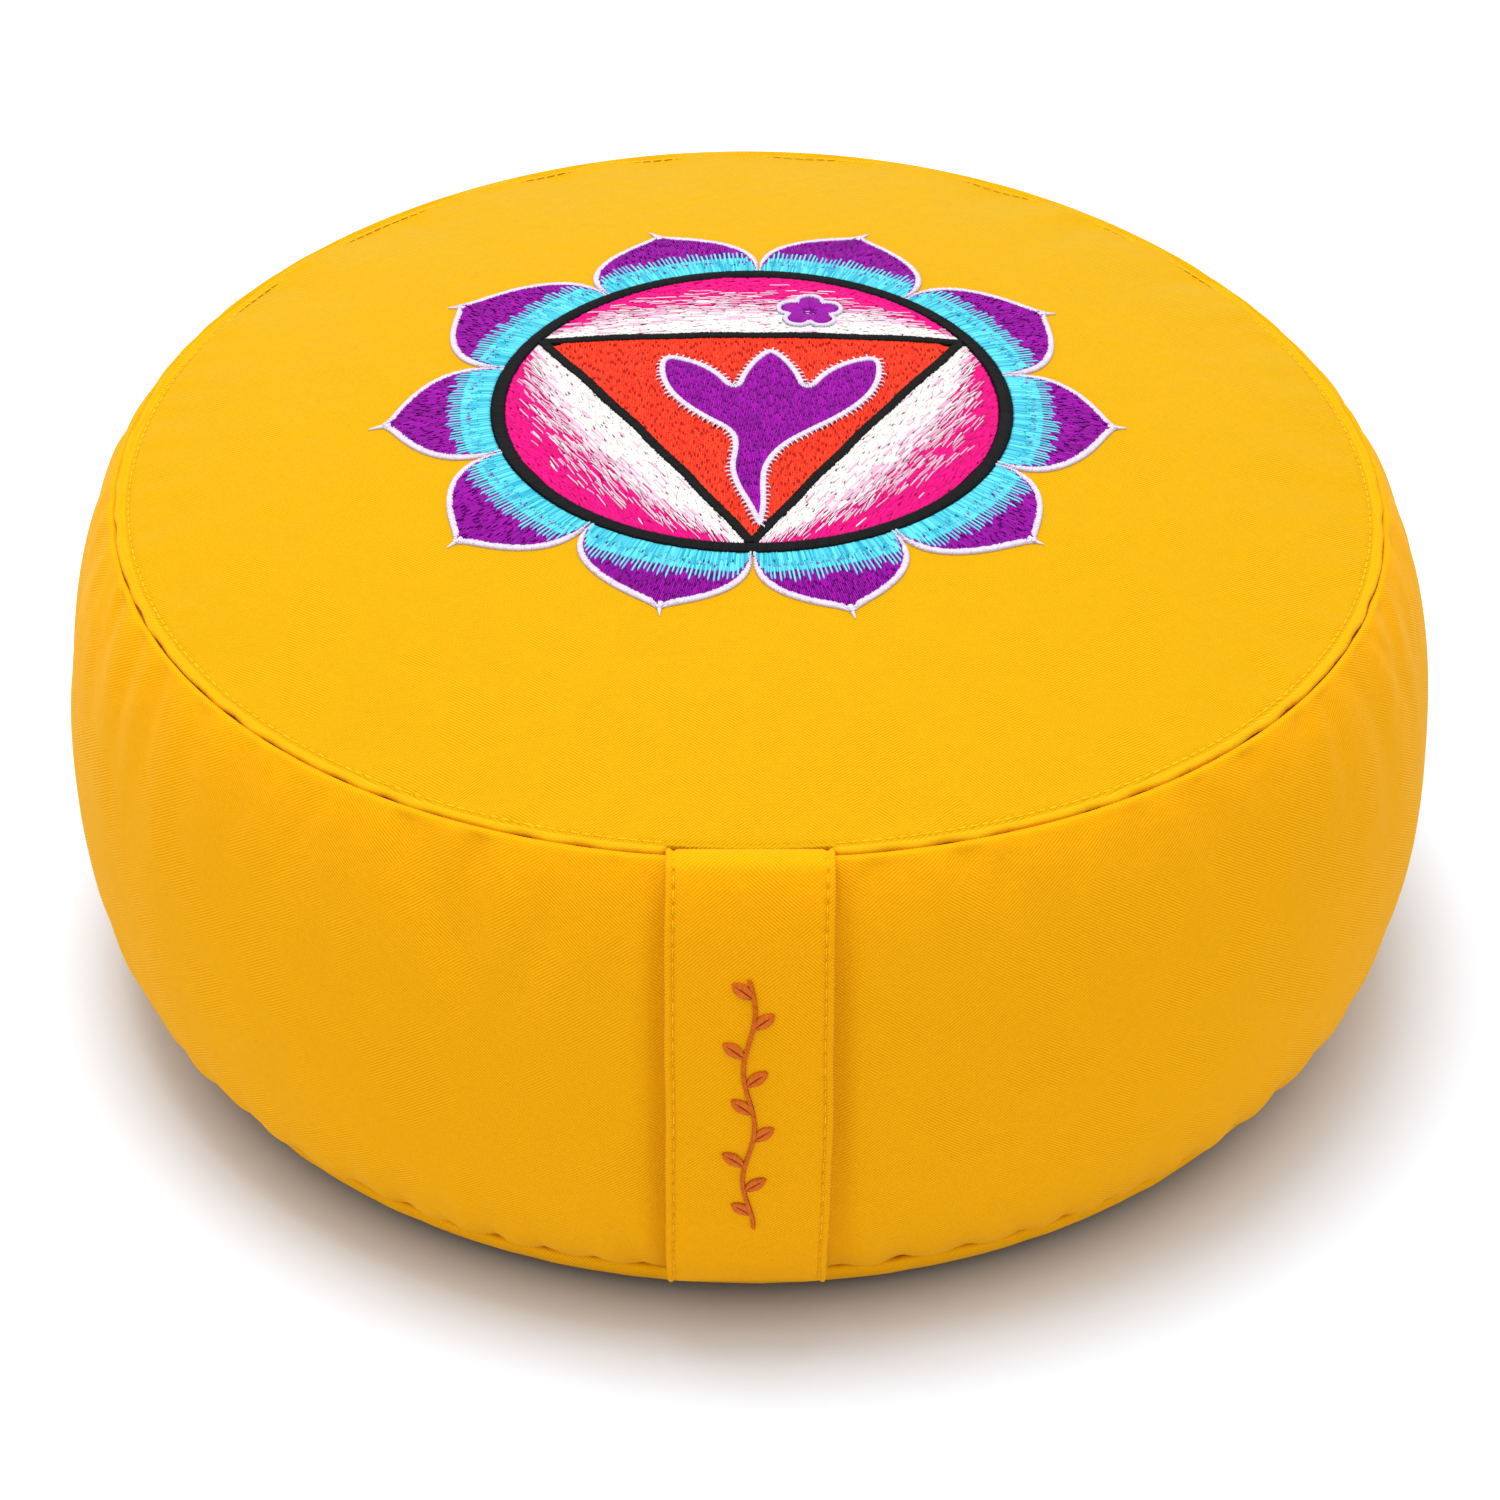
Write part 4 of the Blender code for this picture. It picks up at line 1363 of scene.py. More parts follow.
@dataclass
class CarryStrap:
    """The flat doubled strap with a stitched rib along each side."""

    width: float = 0.038
    thickness: float = 0.0022
    clearance: float = 0.0005
    start: Pair = (0.1490, 0.1329)
    turn: Pair = (0.1512, 0.1332)
    end: Pair = (0.1512, 0.0142)
    row_step: float = 0.004
    station: float = 0.0007  # distance between the mesh's rows
    taper: float = 0.035  # how much narrower its lower end is, as a share
    drift: float = 0.0009  # how far its lower end lies to the left
    rib_half: float = 0.0008
    rib_rise: float = 0.00028
    stitch_inset: float = 0.0018
    stitch_pitch: float = 0.0033
    stitch_dip: float = 0.00042
    thread_width: float = 0.00042

    def centreline(self) -> Array:
        """Distance from the axis and height along the strap's middle, from its top end down."""
        offset = self.clearance + self.thickness / 2
        line = [self.start, self.turn]
        for share in np.concatenate([[0.985], np.linspace(0.955, 0.040, 40)]):
            before, after = SHAPE.band_point(share + self.row_step), SHAPE.band_point(share - self.row_step)
            down = (after[0] - before[0], after[1] - before[1])
            length = math.hypot(*down)
            radius, height = SHAPE.band_point(share)
            line.append((radius - down[1] / length * offset, height + down[0] / length * offset))
        line.append(self.end)
        path = resampled(np.array(line, dtype=float), self.station)
        for _ in range(3):
            path = softened(path)
        return path

    @staticmethod
    def waver(down: Array | float) -> Array | float:
        """How far the cloth strays aside at a place down the strap."""
        return 0.00010 * np.sin(down * 95 + 1.0) + 0.00007 * np.sin(down * 210)

    def surface(self) -> tuple[Surface, float]:
        """Lays a place given across and down the strap on its outer face, and tells the strap's length."""
        path = self.centreline()
        away = sides_of(path)
        face = path + away * self.thickness / 2
        length = lengths_along(path)

        def lay(down: Array, across: Array, lift: Array) -> Array:
            """Places on the outer face, whose first axis runs down the strap."""
            radius, height = (np.interp(down, length, face[:, i]) for i in range(2))
            out, up = (np.interp(down, length, away[:, i]) for i in range(2))
            points = np.stack([np.zeros_like(radius), -(radius + out * lift), height + up * lift], axis=1)
            share = down / length[-1]
            moved = SHAPE.settled(points, tucked=False)
            moved[:, 0] += across * (1 - self.taper * share**3) - self.drift * share**2
            return moved

        return lay, float(length[-1])

    def build(self) -> Object:
        lay, length = self.surface()
        half = self.width / 2
        insets = np.array([0, 0.0001, 0.0004, self.rib_half, 0.0012, 0.0015, 0.0018, 0.0021, 0.0025, 0.0032])
        flat = half - 0.0045
        across = np.concatenate([half - insets, np.linspace(flat, -flat, 15), insets[::-1] - half])
        back = np.linspace(-(half - 0.0003), half - 0.0003, 9)
        out = np.concatenate([self._face(across), np.full(len(back), -self.thickness)])
        section = (np.concatenate([across, back]), out)
        down = np.arange(0, length, self.station)
        path = np.stack([down, np.zeros_like(down)], axis=1)

        def surface(down: Array, side: Array, lift: Array) -> Array:
            """The strap's face with its stitch holes, a little uneven along its length."""
            holed = np.where(lift > -self.thickness * 0.5, lift - self._stitch_dips(down, side), lift)
            return lay(down, side + self.waver(down), holed)

        work = MeshWork()
        strip(work, path, section, surface, Cloth.STRAP)
        piece = work.to_piece("carry_strap_cloth", "strap_cloth", "carry_strap")
        return piece

    def _face(self, across: Array) -> Array:
        """Height of the outer face across the strap: a rib outside each row of stitches and a flat middle."""
        inset = self.width / 2 - np.abs(across)
        rib = self.rib_rise * np.exp(-(((inset - self.rib_half) / 0.00085) ** 2))
        groove = 0.00020 * np.exp(-(((inset - self.stitch_inset) / 0.00045) ** 2))
        roll = 0.0006 * np.clip(1 - inset / 0.0007, 0, 1) ** 2
        side = np.where(inset < 1e-6, self.thickness * 0.45, 0.0)
        return rib - groove - roll - side - 0.0002

    def _stitch_dips(self, down: Array, side: Array) -> Array:
        """Depth of the dimple at the end of each stitch."""
        inset = self.width / 2 - np.abs(side)
        beat = 0.5 + 0.5 * np.cos(down * TAU / self.stitch_pitch)
        return self.stitch_dip * beat**4 * np.exp(-(((inset - self.stitch_inset) / 0.0006) ** 2))

    def stitching(self) -> Object:
        """Sews the two rows of stitches."""
        lay, length = self.surface()
        stitches = Stitches()
        chance = Chance(51)
        count = int((length - 0.006) / self.stitch_pitch)
        for side in (-1, 1):
            for number in range(1, count):
                down = (number + 0.5) * self.stitch_pitch
                at = side * (self.width / 2 - self.stitch_inset) + chance.uniform(-0.00006, 0.00006)
                at += self.waver(down)
                half = self.stitch_pitch * 0.37
                tone = chance.uniform(0.2, 0.9)
                stitches.add((down - half, at), (down + half, at), self.thread_width, tone, -0.0006, 0.0)
        work = MeshWork()
        stitches.sew(work, Thread.YELLOW, lay)
        return work.to_piece("strap_stitches", "strap_cloth")


# ---- the embroidered lotus
def polar(radius: Array | float, angle: Array | float) -> Array:
    """A place by its distance from the medallion's middle and its angle from +X."""
    return np.stack(np.broadcast_arrays(radius * np.cos(angle), radius * np.sin(angle)), axis=-1)


def turned(path: Array, angle: float) -> Array:
    """A path turned about the medallion's middle."""
    cosine, sine = math.cos(angle), math.sin(angle)
    x, y = path.T
    return np.stack([x * cosine - y * sine, x * sine + y * cosine], axis=1)


def triangle(distance: float) -> Array:
    """The corners of the medallion's triangle, by the distance of its sides from the middle."""
    return polar(2 * distance, np.radians([-90.0, 30.0, 150.0]))


@dataclass
class Petal:
    """One petal: purple, with turquoise at its foot and a pale outline that ends in a short tail."""

    node: str
    number: int
    begin: float  # angles from +X, in degrees
    tip: float
    end: float
    reach: float  # distance of the body's tip
    hook: Pair  # how far the tail runs on outwards and aside
    outline: float = 0.0014
    turquoise_end: float = 0.0700
    comb: float = 0.0011  # distance between the turquoise spikes
    spike: float = 0.0052
    spike_width: float = 0.00056
    body_heights: Pair = (0.00034, 0.00076)  # of the stitches' ends and middles
    foot_heights: Pair = (0.00040, 0.00084)
    spike_heights: Pair = (0.00050, 0.00096)
    rim_heights: Pair = (0.00042, 0.00094)
    rim_high: float = 0.00088  # height of the strip under the outline
    tail_high: float = 0.00090
    tail_start: float = 0.0020  # how far inside the tip the tail starts

    def edge(self, angle: Array) -> Array:
        """Distance of the petal's outer edge: full sides that curve in to a drawn-out tip."""
        side = np.where(angle < math.radians(self.tip), self.tip - self.begin, self.end - self.tip)
        share = np.clip(np.abs(np.degrees(angle) - self.tip) / side, 0, 1)
        form = 0.95 * (1 - share) ** 0.369 + 0.05 * np.exp(-share / 0.089)
        return LOTUS.ring_outer + SHAPE.piece_gap + (self.reach - LOTUS.ring_outer) * form

    def sides(self) -> tuple[Array, Array]:
        """The two outer sides, from the ring to the tip."""
        share = np.linspace(0, 1, 90) ** 2
        found = []
        for corner in (self.begin + 0.12, self.end - 0.12):
            angle = np.radians(corner + (self.tip - corner) * share)
            foot = polar(LOTUS.ring_outer, np.array([math.radians(corner)]))
            side = np.vstack([foot, polar(self.edge(angle), angle)])
            found.append(softened(resampled(side, LOTUS.pitch)))
        return found[0], found[1]

    @staticmethod
    def narrowing(count: int) -> Array:
        """How wide the outline is along a side, as a share: thin by the ring and at the tip."""
        place = np.arange(count)
        return np.clip((place + 2) / 21.0, 0.28, 1) * np.clip((count - place) / 9.0, 0.45, 1)

    def inset(self, margin: float) -> tuple[Array, Array]:
        """Angles and distances of the petal's edge moved in by a margin."""
        moved = []
        for path, inward in zip(self.sides(), (1, -1)):
            moved.append(path + sides_of(path) * inward * (margin * self.narrowing(len(path)))[:, None])
        places = np.vstack(moved)
        middle = math.radians(self.tip)
        angle = (np.arctan2(places[:, 1], places[:, 0]) - middle + math.pi) % TAU - math.pi + middle
        order = np.argsort(angle)
        return angle[order], np.hypot(places[:, 0], places[:, 1])[order]

    def build(self) -> Object:
        """Builds the petal's stitching."""
        chance = Chance(100 + self.number)
        right, left = self.sides()
        foot = polar(LOTUS.under_ring, np.radians(np.linspace(self.end - 0.1, self.begin + 0.1, 15)))
        inner_right, inner_left = right + sides_of(right) * 0.0005, left - sides_of(left) * 0.0005
        loop = np.vstack([foot[1:-1], inner_right[::2], inner_left[::-2]])
        work = MeshWork()
        pad(work, loop, Thread.PURPLE, 0.004)
        self._fill(work, chance)
        self._outline(work, right, left, chance)
        return work.to_piece(f"{self.node}_stitching", "petal_thread", self.node)

    def _fill(self, work: MeshWork, chance: Chance) -> None:
        """Fills the petal with purple stitches, with turquoise ones and a comb of spikes over their foot."""
        purple, turquoise = Stitches(), Stitches()
        lines = []
        begin = LOTUS.under_ring
        rims, covers_to = self.inset(self.outline * 0.6), self.inset(self.outline + 0.0008)
        spikes_to = self.inset(self.outline + 0.0003)
        low, high = self.foot_heights
        first, last = math.radians(self.begin + 0.25), math.radians(self.end - 0.2)
        for angle in np.arange(first, last, LOTUS.pitch / 0.068):
            heading = polar(1.0, angle)
            rim = float(np.interp(angle, *rims))
            cover = min(self.turquoise_end, float(np.interp(angle, *covers_to)))
            if rim - begin > 0.0012:
                lines.append((heading * 0, heading, max(begin, cover - 0.003), rim))
            place = begin
            while place < cover - 0.0008:
                stop = min(cover, place + chance.uniform(0.003, 0.0065))
                stop = cover if cover - stop < 0.0015 else stop
                lift = high + chance.uniform(-0.00004, 0.00004)
                tone = chance.uniform(0.0, 1.0)
                turquoise.add(heading * place, heading * stop, LOTUS.thread, tone, low, lift)
                place = stop - 0.0005 if chance.uniform() > 0.12 else stop + 0.0005
        fill_lines(purple, lines, chance, 0.0044, LOTUS.thread, self.body_heights, 0.26, 0.0007)
        first, last = math.radians(self.begin + 1.6), math.radians(self.end - 1.4)
        for angle in np.arange(first, last, self.comb / 0.0715):
            angle = angle + chance.uniform(-0.0015, 0.0015)
            heading = polar(1.0, angle + chance.uniform(-0.03, 0.03))
            start = min(self.turquoise_end, float(np.interp(angle, *covers_to))) - 0.0022
            stop = start + self.spike + chance.uniform(-0.0012, 0.0014)
            stop = min(stop, float(np.interp(angle, *spikes_to)))
            if start > begin and stop - start > 0.0015:
                foot = polar(start, angle)
                end = foot + heading * (stop - start)
                turquoise.add(foot, end, self.spike_width, chance.uniform(0.5, 1.1), *self.spike_heights)
        purple.sew(work, Thread.PURPLE)
        turquoise.sew(work, Thread.TURQUOISE)

    def _outline(self, work: MeshWork, right: Array, left: Array, chance: Chance) -> None:
        """Lays the pale outline along both sides, ragged on its inside, and on into the tail."""
        stitches = Stitches()
        for path, inward in ((right, 1), (left, -1)):
            width = self.outline * self.narrowing(len(path))
            middle = path + sides_of(path) * inward * (width * 0.5)[:, None]
            section = domed_section(self.outline * 0.48, LOTUS.strip_low, self.rim_high)
            narrow = self.narrowing(len(path))[::3]
            strip(work, middle[::3], section, LOTUS.surface, Thread.PALE, widths=narrow, tone=0.7)
            inner = middle + sides_of(path) * inward * 0.00018
            slant = 0.45 * inward
            satin(stitches, inner, width * 0.5, chance, self.rim_heights, LOTUS.thread, slant, 0.0002)
        heading = polar(1.0, math.radians(self.tip))
        share = np.linspace(0, 1, 12)[:, None]
        run = heading * (self.tail_start + self.hook[0]) * share + left_of(heading) * self.hook[1] * share**2
        tail = heading * (self.reach - self.tail_start) + run
        section = domed_section(0.0008, LOTUS.strip_low, self.tail_high)
        widths = np.interp(share[:, 0], (0, 0.4, 1), (1.0, 0.75, 0.15))
        strip(work, tail, section, LOTUS.surface, Thread.PALE, widths=widths, tone=0.7)
        stitches.sew(work, Thread.PALE)


PETALS = (  # node, where the petal begins, its tip and its end in degrees, its reach, how its tail runs on
    ("petal_right", -22.2, -1.8, 14.5, 0.0872, (0.0026, 0.0010)),
    ("petal_back_right", 14.5, 34.2, 53.2, 0.0873, (0.0026, -0.0010)),
    ("petal_back_middle_right", 53.2, 72.2, 88.6, 0.0877, (0.0030, -0.0014)),
    ("petal_back_middle_left", 88.6, 105.6, 124.4, 0.0866, (0.0034, 0.0014)),
    ("petal_back_left", 124.4, 144.4, 163.4, 0.0884, (0.0022, 0.0014)),
    ("petal_left", 163.4, 182.0, 197.9, 0.0883, (0.0034, 0.0004)),
    ("petal_front_left", 197.9, 217.6, 233.1, 0.0875, (0.0024, 0.0002)),
    ("petal_front_middle_left", 233.1, 255.2, 270.1, 0.0846, (0.0024, 0.0010)),
    ("petal_front_middle_right", 270.1, 285.6, 302.0, 0.0860, (0.0024, 0.0000)),
    ("petal_front_right", 302.0, 321.1, 337.8, 0.0846, (0.0018, 0.0008)),
)


@dataclass
class RingAndTriangle:
    """The dark raised ring and the triangle inside it, covered in close stitches."""

    low: float = 0.0005  # height of the stitches' ends, and of their middles on the ring and on the lines
    ring_high: float = 0.00112
    line_high: float = 0.0010752
    ring_pad: float = 0.00098  # height of the strips under them
    line_pad: float = 0.00096
    overhang: float = 0.0001  # how far the stitches reach past those
    waver: float = 0.00016

    def build(self) -> Object:
        """Builds the ring and the three lines."""
        chance = Chance(61)
        work, stitches = MeshWork(), Stitches()
        middle = (LOTUS.ring_outer + LOTUS.ring_inner) / 2
        half = (LOTUS.ring_outer - LOTUS.ring_inner) / 2
        circle = polar(middle, TAU * np.arange(960) / 960)
        section = domed_section(half, LOTUS.strip_low, self.ring_pad)
        strip(work, circle[::6], section, LOTUS.surface, Thread.BLACK, closed=True)
        half += self.overhang
        heights = (self.low, self.ring_high)
        satin(stitches, circle, half, chance, heights, LOTUS.thread, 0.25, 0.00012, closed=True)
        corners = triangle(LOTUS.ring_inner / 2)
        section = domed_section(LOTUS.frame_line / 2, LOTUS.strip_low, self.line_pad)
        half = LOTUS.frame_line / 2 + self.overhang
        heights = (self.low, self.line_high)
        for number in range(3):
            start, end = corners[number], corners[(number + 1) % 3]
            heading = (end - start) / np.linalg.norm(end - start)
            path = resampled(np.stack([start + heading * 0.0006, end - heading * 0.0006]), LOTUS.pitch)
            sway = self.waver * np.sin(np.arange(len(path)) * 0.11 + number)
            path = path + left_of(heading) * sway[:, None]
            strip(work, path[::8], section, LOTUS.surface, Thread.BLACK)
            satin(stitches, path, half, chance, heights, LOTUS.thread, 0.35, 0.00016)
        stitches.sew(work, Thread.BLACK)
        return work.to_piece("ring_and_triangle_stitching", "line_thread", "ring_and_triangle_line")


FIELD_SHARES = (  # nearness to the ring above which it holds, share of magenta, share of magenta and pink
    (0.82, 1.0, 1.0),
    (0.68, 0.80, 0.95),
    (0.53, 0.40, 0.90),
    (0.38, 0.07, 0.66),
    (0.24, 0.0, 0.24),
    (-9.0, 0.0, 0.03),
)
SIDE_FIELDS = (("back", 90, 71), ("left", 210, 72), ("right", 330, 73))  # place, angle in degrees and seed


@dataclass
class SideField:
    """A field between the ring and the triangle, stitched from white through pink to magenta."""

    place: str
    angle: float
    seed: int
    chord: float = LOTUS.ring_inner / 2 + LOTUS.frame_line / 2 - 0.0003  # distance of its straight side
    radius: float = LOTUS.ring_inner + 0.0001
    lengths: Pair = (0.0030, 0.0066)  # of a stitch, at least and at most
    low: float = 0.00028
    high: float = 0.00078
    pink_rise: float = 0.00012

    def build(self) -> Object:
        """Builds the field's stitching."""
        chance = Chance(self.seed)
        half = math.acos(self.chord / self.radius)
        loop = turned(polar(self.radius, np.linspace(-half, half, 40)), self.angle)
        work = MeshWork()
        pad(work, loop, Thread.MAGENTA, 0.005)
        threads = {Thread.WHITE: Stitches(), Thread.PINK: Stitches(), Thread.MAGENTA: Stitches()}
        for x in np.arange(self.chord + LOTUS.pitch / 2, self.radius - 0.0002, LOTUS.pitch):
            self._row(threads, float(x), chance)
        for thread, stitches in threads.items():
            stitches.sew(work, thread)
        node = f"side_field_{self.place}"
        return work.to_piece(f"{node}_stitching", "side_field_thread", node)

    def _row(self, threads: dict[Thread, Stitches], x: float, chance: Chance) -> None:
        """Sews a row of stitches along the straight side.

        Args:
            threads: The stitches of each colour.
            x: How far the row is from the medallion's middle.
            chance: Source of the hand's unevenness.
        """
        end = math.sqrt(self.radius**2 - x * x)
        place = -end
        first = True
        while place < end - 0.0008:
            stop = min(end, place + chance.uniform(*self.lengths) * (chance.uniform(0.3, 1) if first else 1))
            if end - stop < 0.0015:
                stop = end
            middle = (place + stop) / 2
            local = max(math.sqrt(max(self.radius**2 - middle**2, 0)) - self.chord, 0.0008)
            near = (x - self.chord) / local + chance.uniform(-0.06, 0.06)
            thread = self._thread(near, chance.uniform())
            lift = self.high + (self.pink_rise if thread is Thread.PINK else 0.0)
            lift += chance.uniform(-0.00005, 0.00005)
            mixed = thread is not Thread.MAGENTA and near > 0.42
            sway = chance.uniform(-0.00030, 0.00030) * (1.0 if mixed else 0.4)
            width = LOTUS.thread * chance.uniform(0.85, 1.15) * (0.72 if mixed else 1.06)
            ends = turned(np.array([[x - sway, place], [x + sway, stop]]), self.angle)
            threads[thread].add(*ends, width, chance.uniform(0.25, 0.85), self.low, lift)
            place = stop + (0.0004 if chance.uniform() < 0.07 else -0.0006)
            first = False

    def _thread(self, near: float, drawn: float) -> Thread:
        """Chooses a stitch's colour by how near it is to the ring, from 0 to 1, and by a drawn number."""
        magenta, pink = next(shares for least, *shares in FIELD_SHARES if near > least)
        return Thread.MAGENTA if drawn < magenta else Thread.PINK if drawn < pink else Thread.WHITE


@dataclass
class TriangleField:
    """The orange-red field inside the triangle, in short upright stitches."""

    stitch: float = 0.0038
    heights: Pair = (0.00028, 0.00074)

    def build(self) -> Object:
        """Builds the field's stitching."""
        chance = Chance(81)
        inner = LOTUS.ring_inner / 2 - LOTUS.frame_line / 2 + 0.0003
        loop = resampled(triangle(inner), 0.006, closed=True)
        work, stitches = MeshWork(), Stitches()
        # painted shade: the darker red underlay shows in the gaps between the stitches as dark flecks
        pad(work, loop, Thread.RED_UNDERLAY_SHADE, 0.005)
        lines = parallel_lines(loop, math.radians(-88), LOTUS.pitch)
        fill_lines(stitches, lines, chance, self.stitch, LOTUS.thread, self.heights, 0.32, 0.0009)
        stitches.sew(work, Thread.RED)
        return work.to_piece("triangle_field_stitching", "triangle_thread", "triangle_field")


@dataclass
class Flower:
    """A purple bud on a curved stem, with a pale toothed outline, stitched over the triangle."""

    middle: float = 0.0045
    top: float = 0.0230
    cup: tuple[Pair, ...] = (  # half width and height, from the middle tip round to the foot
        *((0.0040, 0.0180), (0.0070, 0.0110), (0.0085, 0.0040), (0.0125, 0.0120), (0.0185, 0.0175)),
        *((0.0262, 0.0205), (0.0270, 0.0110), (0.0240, 0.0010), (0.0170, -0.0080), (0.0095, -0.0145)),
    )
    stem: tuple[Triple, ...] = (  # height, middle and half width
        (-0.0210, 0.0015, 0.0058),
        (-0.0290, -0.0010, 0.0045),
        (-0.0370, -0.0005, 0.0036),
        (-0.0450, 0.0012, 0.0022),
    )
    foot: Pair = (0.0020, -0.0550)
    outline: float = 0.0013
    stitch: float = 0.0048
    pad_heights: Pair = (0.00062, 0.00088)
    heights: Pair = (0.00080, 0.00128)  # of the purple stitches' ends and middles
    teeth_heights: Pair = (0.00070, 0.00142)
    rim_heights: Pair = (0.00060, 0.00125)  # of the strip under the outline

    def loop(self) -> Array:
        """The flower's outer edge."""
        rows = [(self.middle, half_width, height) for half_width, height in self.cup]
        rows += [(middle, half_width, height) for height, middle, half_width in self.stem]
        right = [(middle + half_width, height) for middle, half_width, height in rows]
        left = [(middle - half_width, height) for middle, half_width, height in rows]
        return np.array([(self.middle, self.top), *right, self.foot, *left[::-1]])

    def build(self) -> Object:
        """Builds the flower's stitching."""
        chance = Chance(91)
        edge = resampled(rounded(self.loop(), 2), LOTUS.pitch, closed=True)
        inward = -sides_of(edge, closed=True)
        body = edge + inward * self.outline
        work, purple, pale = MeshWork(), Stitches(), Stitches()
        loop = resampled(body, 0.002, closed=True)
        pad(work, loop, Thread.PURPLE, 0.004, self.pad_heights)
        lines = parallel_lines(resampled(body, 0.0008, closed=True), math.radians(-84), LOTUS.pitch)
        fill_lines(purple, lines, chance, self.stitch, LOTUS.thread, self.heights)
        purple.sew(work, Thread.PURPLE)
        rim = resampled(edge + inward * self.outline * 0.62, 0.0012, closed=True)
        section = domed_section(self.outline * 0.30, *self.rim_heights)
        strip(work, rim, section, LOTUS.surface, Thread.PALE, closed=True)
        for number, (place, side) in enumerate(zip(edge, inward)):
            tooth = (0.0014 if number % 4 == 0 else 0.0002) * chance.uniform(0.5, 1.1)
            start = place + side * (self.outline + 0.0002)
            end = place - side * tooth
            width = LOTUS.thread * chance.uniform(0.9, 1.1)
            pale.add(start, end, width, chance.uniform(0.35, 0.9), *self.teeth_heights)
        pale.sew(work, Thread.PALE)
        return work.to_piece("flower_stitching", "flower_thread", "flower")


@dataclass
class Blossom:
    """A small purple blossom with five petals and a pale outline, stitched over the back field."""

    middle: Pair = (0.0140, 0.0410)
    radius: float = 0.0084
    outline: float = 0.0011
    pad_heights: Pair = (0.00062, 0.00085)
    heights: Pair = (0.0008, 0.0013)
    rim_heights: Pair = (0.0007, 0.0015)

    def build(self) -> Object:
        """Builds the blossom's stitching."""
        chance = Chance(95)
        angle = TAU * np.arange(110) / 110
        reach = self.radius * (0.56 + 0.44 * np.abs(np.cos(2.5 * (angle - math.pi / 2))) ** 0.45)
        middle = np.array(self.middle)
        edge = middle + polar(1.0, angle) * reach[:, None]
        inner = middle + polar(1.0, angle) * (reach - self.outline)[:, None]
        work, purple, pale = MeshWork(), Stitches(), Stitches()
        pad(work, inner[::3], Thread.PURPLE, 0.003, self.pad_heights)
        for number, place in enumerate(inner):
            short = 0.35 if number % 2 else 0.12
            start = middle + (place - middle) * (short + chance.uniform(0, 0.1))
            purple.add(start, place, LOTUS.thread, chance.uniform(0.25, 0.8), *self.heights)
        purple.sew(work, Thread.PURPLE)
        rim = resampled((edge + inner) / 2, LOTUS.pitch, closed=True)
        section = domed_section(0.0005, 0.0006, 0.0012)
        strip(work, rim[::3], section, LOTUS.surface, Thread.PALE, closed=True)
        satin(pale, rim, 0.00065, chance, self.rim_heights, LOTUS.thread, 0.3, 0.00010, closed=True)
        pale.sew(work, Thread.PALE)
        return work.to_piece("blossom_stitching", "blossom_thread", "blossom")


@dataclass
class StrapVine:
    """A leafy vine in orange thread down the middle of the strap."""

    strap: CarryStrap
    begin: float = 0.0315
    length: float = 0.069
    sway: float = 0.0013
    bends: float = 2.25
    leaf: float = 0.0080
    leaf_half: float = 0.0017
    leaves: int = 9
    thread: float = 0.00046

    def stem(self, share: Array | float) -> Array:
        """Places down and across the strap at shares of the stem's length."""
        aside = self.sway * np.sin(share * TAU * self.bends)
        return np.stack([self.begin + self.length * share, aside], axis=-1)

    def build(self) -> Object:
        """Builds the vine's stitching."""
        lay, _ = self.strap.surface()
        chance = Chance(99)
        work, stitches = MeshWork(), Stitches()
        stem = self.stem(np.linspace(0, 1, 160))

        def surface(along: Array, across: Array, lift: Array) -> Array:
            """The strap's flat middle, which lies a little below its ribs."""
            return lay(along, across, lift - 0.0002)

        strip(work, stem[::4], domed_section(0.00042, 0.0, 0.0004, 5), surface, Thread.ORANGE)
        satin(stitches, resampled(stem, 0.00045), 0.0005, chance, (0.0, 0.0007), 0.00045, 0.8)
        for number in range(self.leaves):
            root = self.stem((number + 0.6) / (self.leaves + 0.2))
            self._leaf(stitches, root, 1 if number % 2 else -1, chance)
        stitches.sew(work, Thread.ORANGE, surface)
        return work.to_piece("strap_vine", "strap_cloth")

    def _leaf(self, stitches: Stitches, root: Array, side: int, chance: Chance) -> None:
        """Adds a leaf whose stitches slant from its midrib.

        Args:
            stitches: Where they are kept.
            root: Where the leaf grows from the stem.
            side: 1 for a leaf on the right of someone facing the strap and -1 for one on the left.
            chance: Source of the hand's unevenness.
        """
        heading = np.array([math.cos(math.radians(128)), side * math.sin(math.radians(128))])
        size = self.leaf * chance.uniform(0.62, 0.72)
        for at in np.linspace(0.06, 1, 17):
            width = self.leaf_half * math.sin(math.pi * min(at * 0.92 + 0.04, 1)) ** 0.8
            middle = root + heading * size * at
            for turn in (-1, 1):
                start = middle - heading * 0.0003
                end = middle + left_of(heading) * turn * width + heading * 0.0007
                stitches.add(start, end, self.thread, chance.uniform(0.3, 0.85), 0.0, 0.0006)


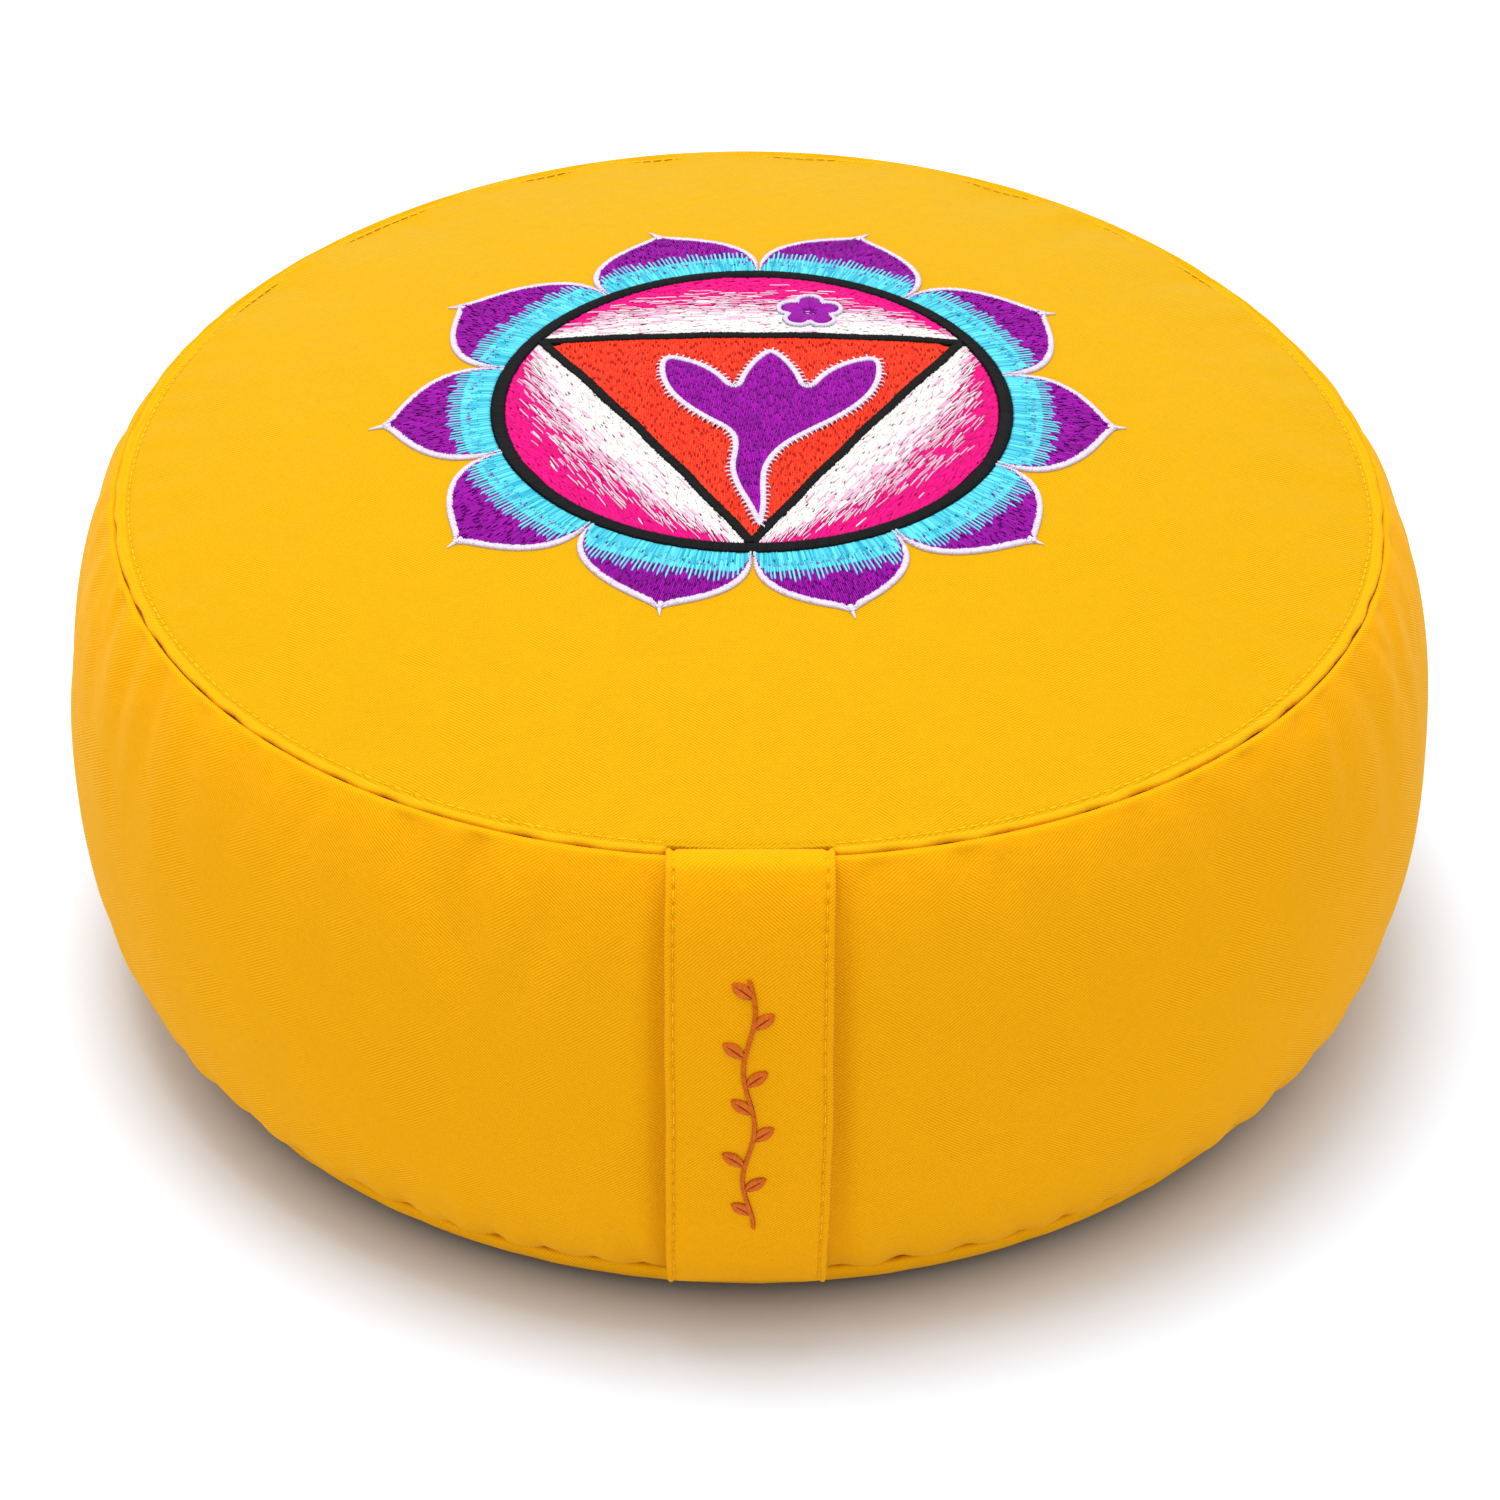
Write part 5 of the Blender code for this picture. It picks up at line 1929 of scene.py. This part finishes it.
# ---- floor, light and camera
@dataclass
class Studio:
    """A pale floor, soft light and a camera at the photograph's angle."""

    floor_size: float = 9.0
    lens: float = 176.47
    sensor: float = 36.0
    camera_place: Triple = (0.0, -1.4632, 1.1118)
    camera_tilt: float = math.radians(54.169)
    world_strength: float = 0.85
    key_power: float = 31.0
    key_size: float = 1.2
    key_place: Triple = (-0.12, 0.12, 1.9)
    key_aim: Triple = (0.0, 0.0, 0.08)

    def build(self) -> None:
        """Builds all of it."""
        self._floor()
        self._light()
        self._camera()
        view = bpy.context.scene.view_settings
        view.view_transform = "Standard"
        view.look = "None"

    def _floor(self) -> None:
        """Lays the floor just under the cushion."""
        half = self.floor_size / 2
        mesh = bpy.data.meshes.new("studio_floor")
        corners = [(-half, -half, 0.0), (half, -half, 0.0), (half, half, 0.0), (-half, half, 0.0)]
        mesh.from_pydata(corners, [], [(0, 1, 2, 3)])
        mesh.materials.append(FloorFinish().material())
        placed("studio_floor", mesh)

    def _light(self) -> None:
        """Hangs one wide soft lamp in an even pale room."""
        world = bpy.data.worlds.new("studio_room")
        world.use_nodes = True
        inputs = world.node_tree.nodes["Background"].inputs
        inputs["Color"].default_value = (1.0, 1.0, 1.0, 1.0)
        inputs["Strength"].default_value = self.world_strength
        bpy.context.scene.world = world
        lamp = bpy.data.lights.new("key_lamp", "AREA")
        lamp.shape = "DISK"
        lamp.size = self.key_size
        lamp.energy = self.key_power
        holder = placed("key_lamp", lamp)
        holder.location = self.key_place
        aim = Vector(self.key_aim) - Vector(self.key_place)
        holder.rotation_euler = aim.to_track_quat("-Z", "Y").to_euler()

    def _camera(self) -> None:
        """Sets the camera up."""
        data = bpy.data.cameras.new("camera")
        data.lens = self.lens
        data.sensor_width = self.sensor
        camera = placed("camera", data)
        camera.location = self.camera_place
        camera.rotation_euler = (self.camera_tilt, 0.0, 0.0)
        bpy.context.scene.camera = camera


def main() -> None:
    """Builds every piece in order."""
    logging.basicConfig(level=logging.INFO, format="%(name)s: %(message)s")
    Studio().build()
    BandCushion().build()
    top = TopCover()
    top.build()
    top.topstitching()
    BaseCover().build()
    strap = CarryStrap()
    strap.build()
    strap.stitching()
    StrapVine(strap).build()
    for number, (node, *angles, reach, hook) in enumerate(PETALS):
        Petal(node, number, *angles, reach, hook).build()
    RingAndTriangle().build()
    for place, degrees, seed in SIDE_FIELDS:
        SideField(place, math.radians(degrees), seed).build()
    TriangleField().build()
    Flower().build()
    Blossom().build()


if __name__ == "__main__":
    main()
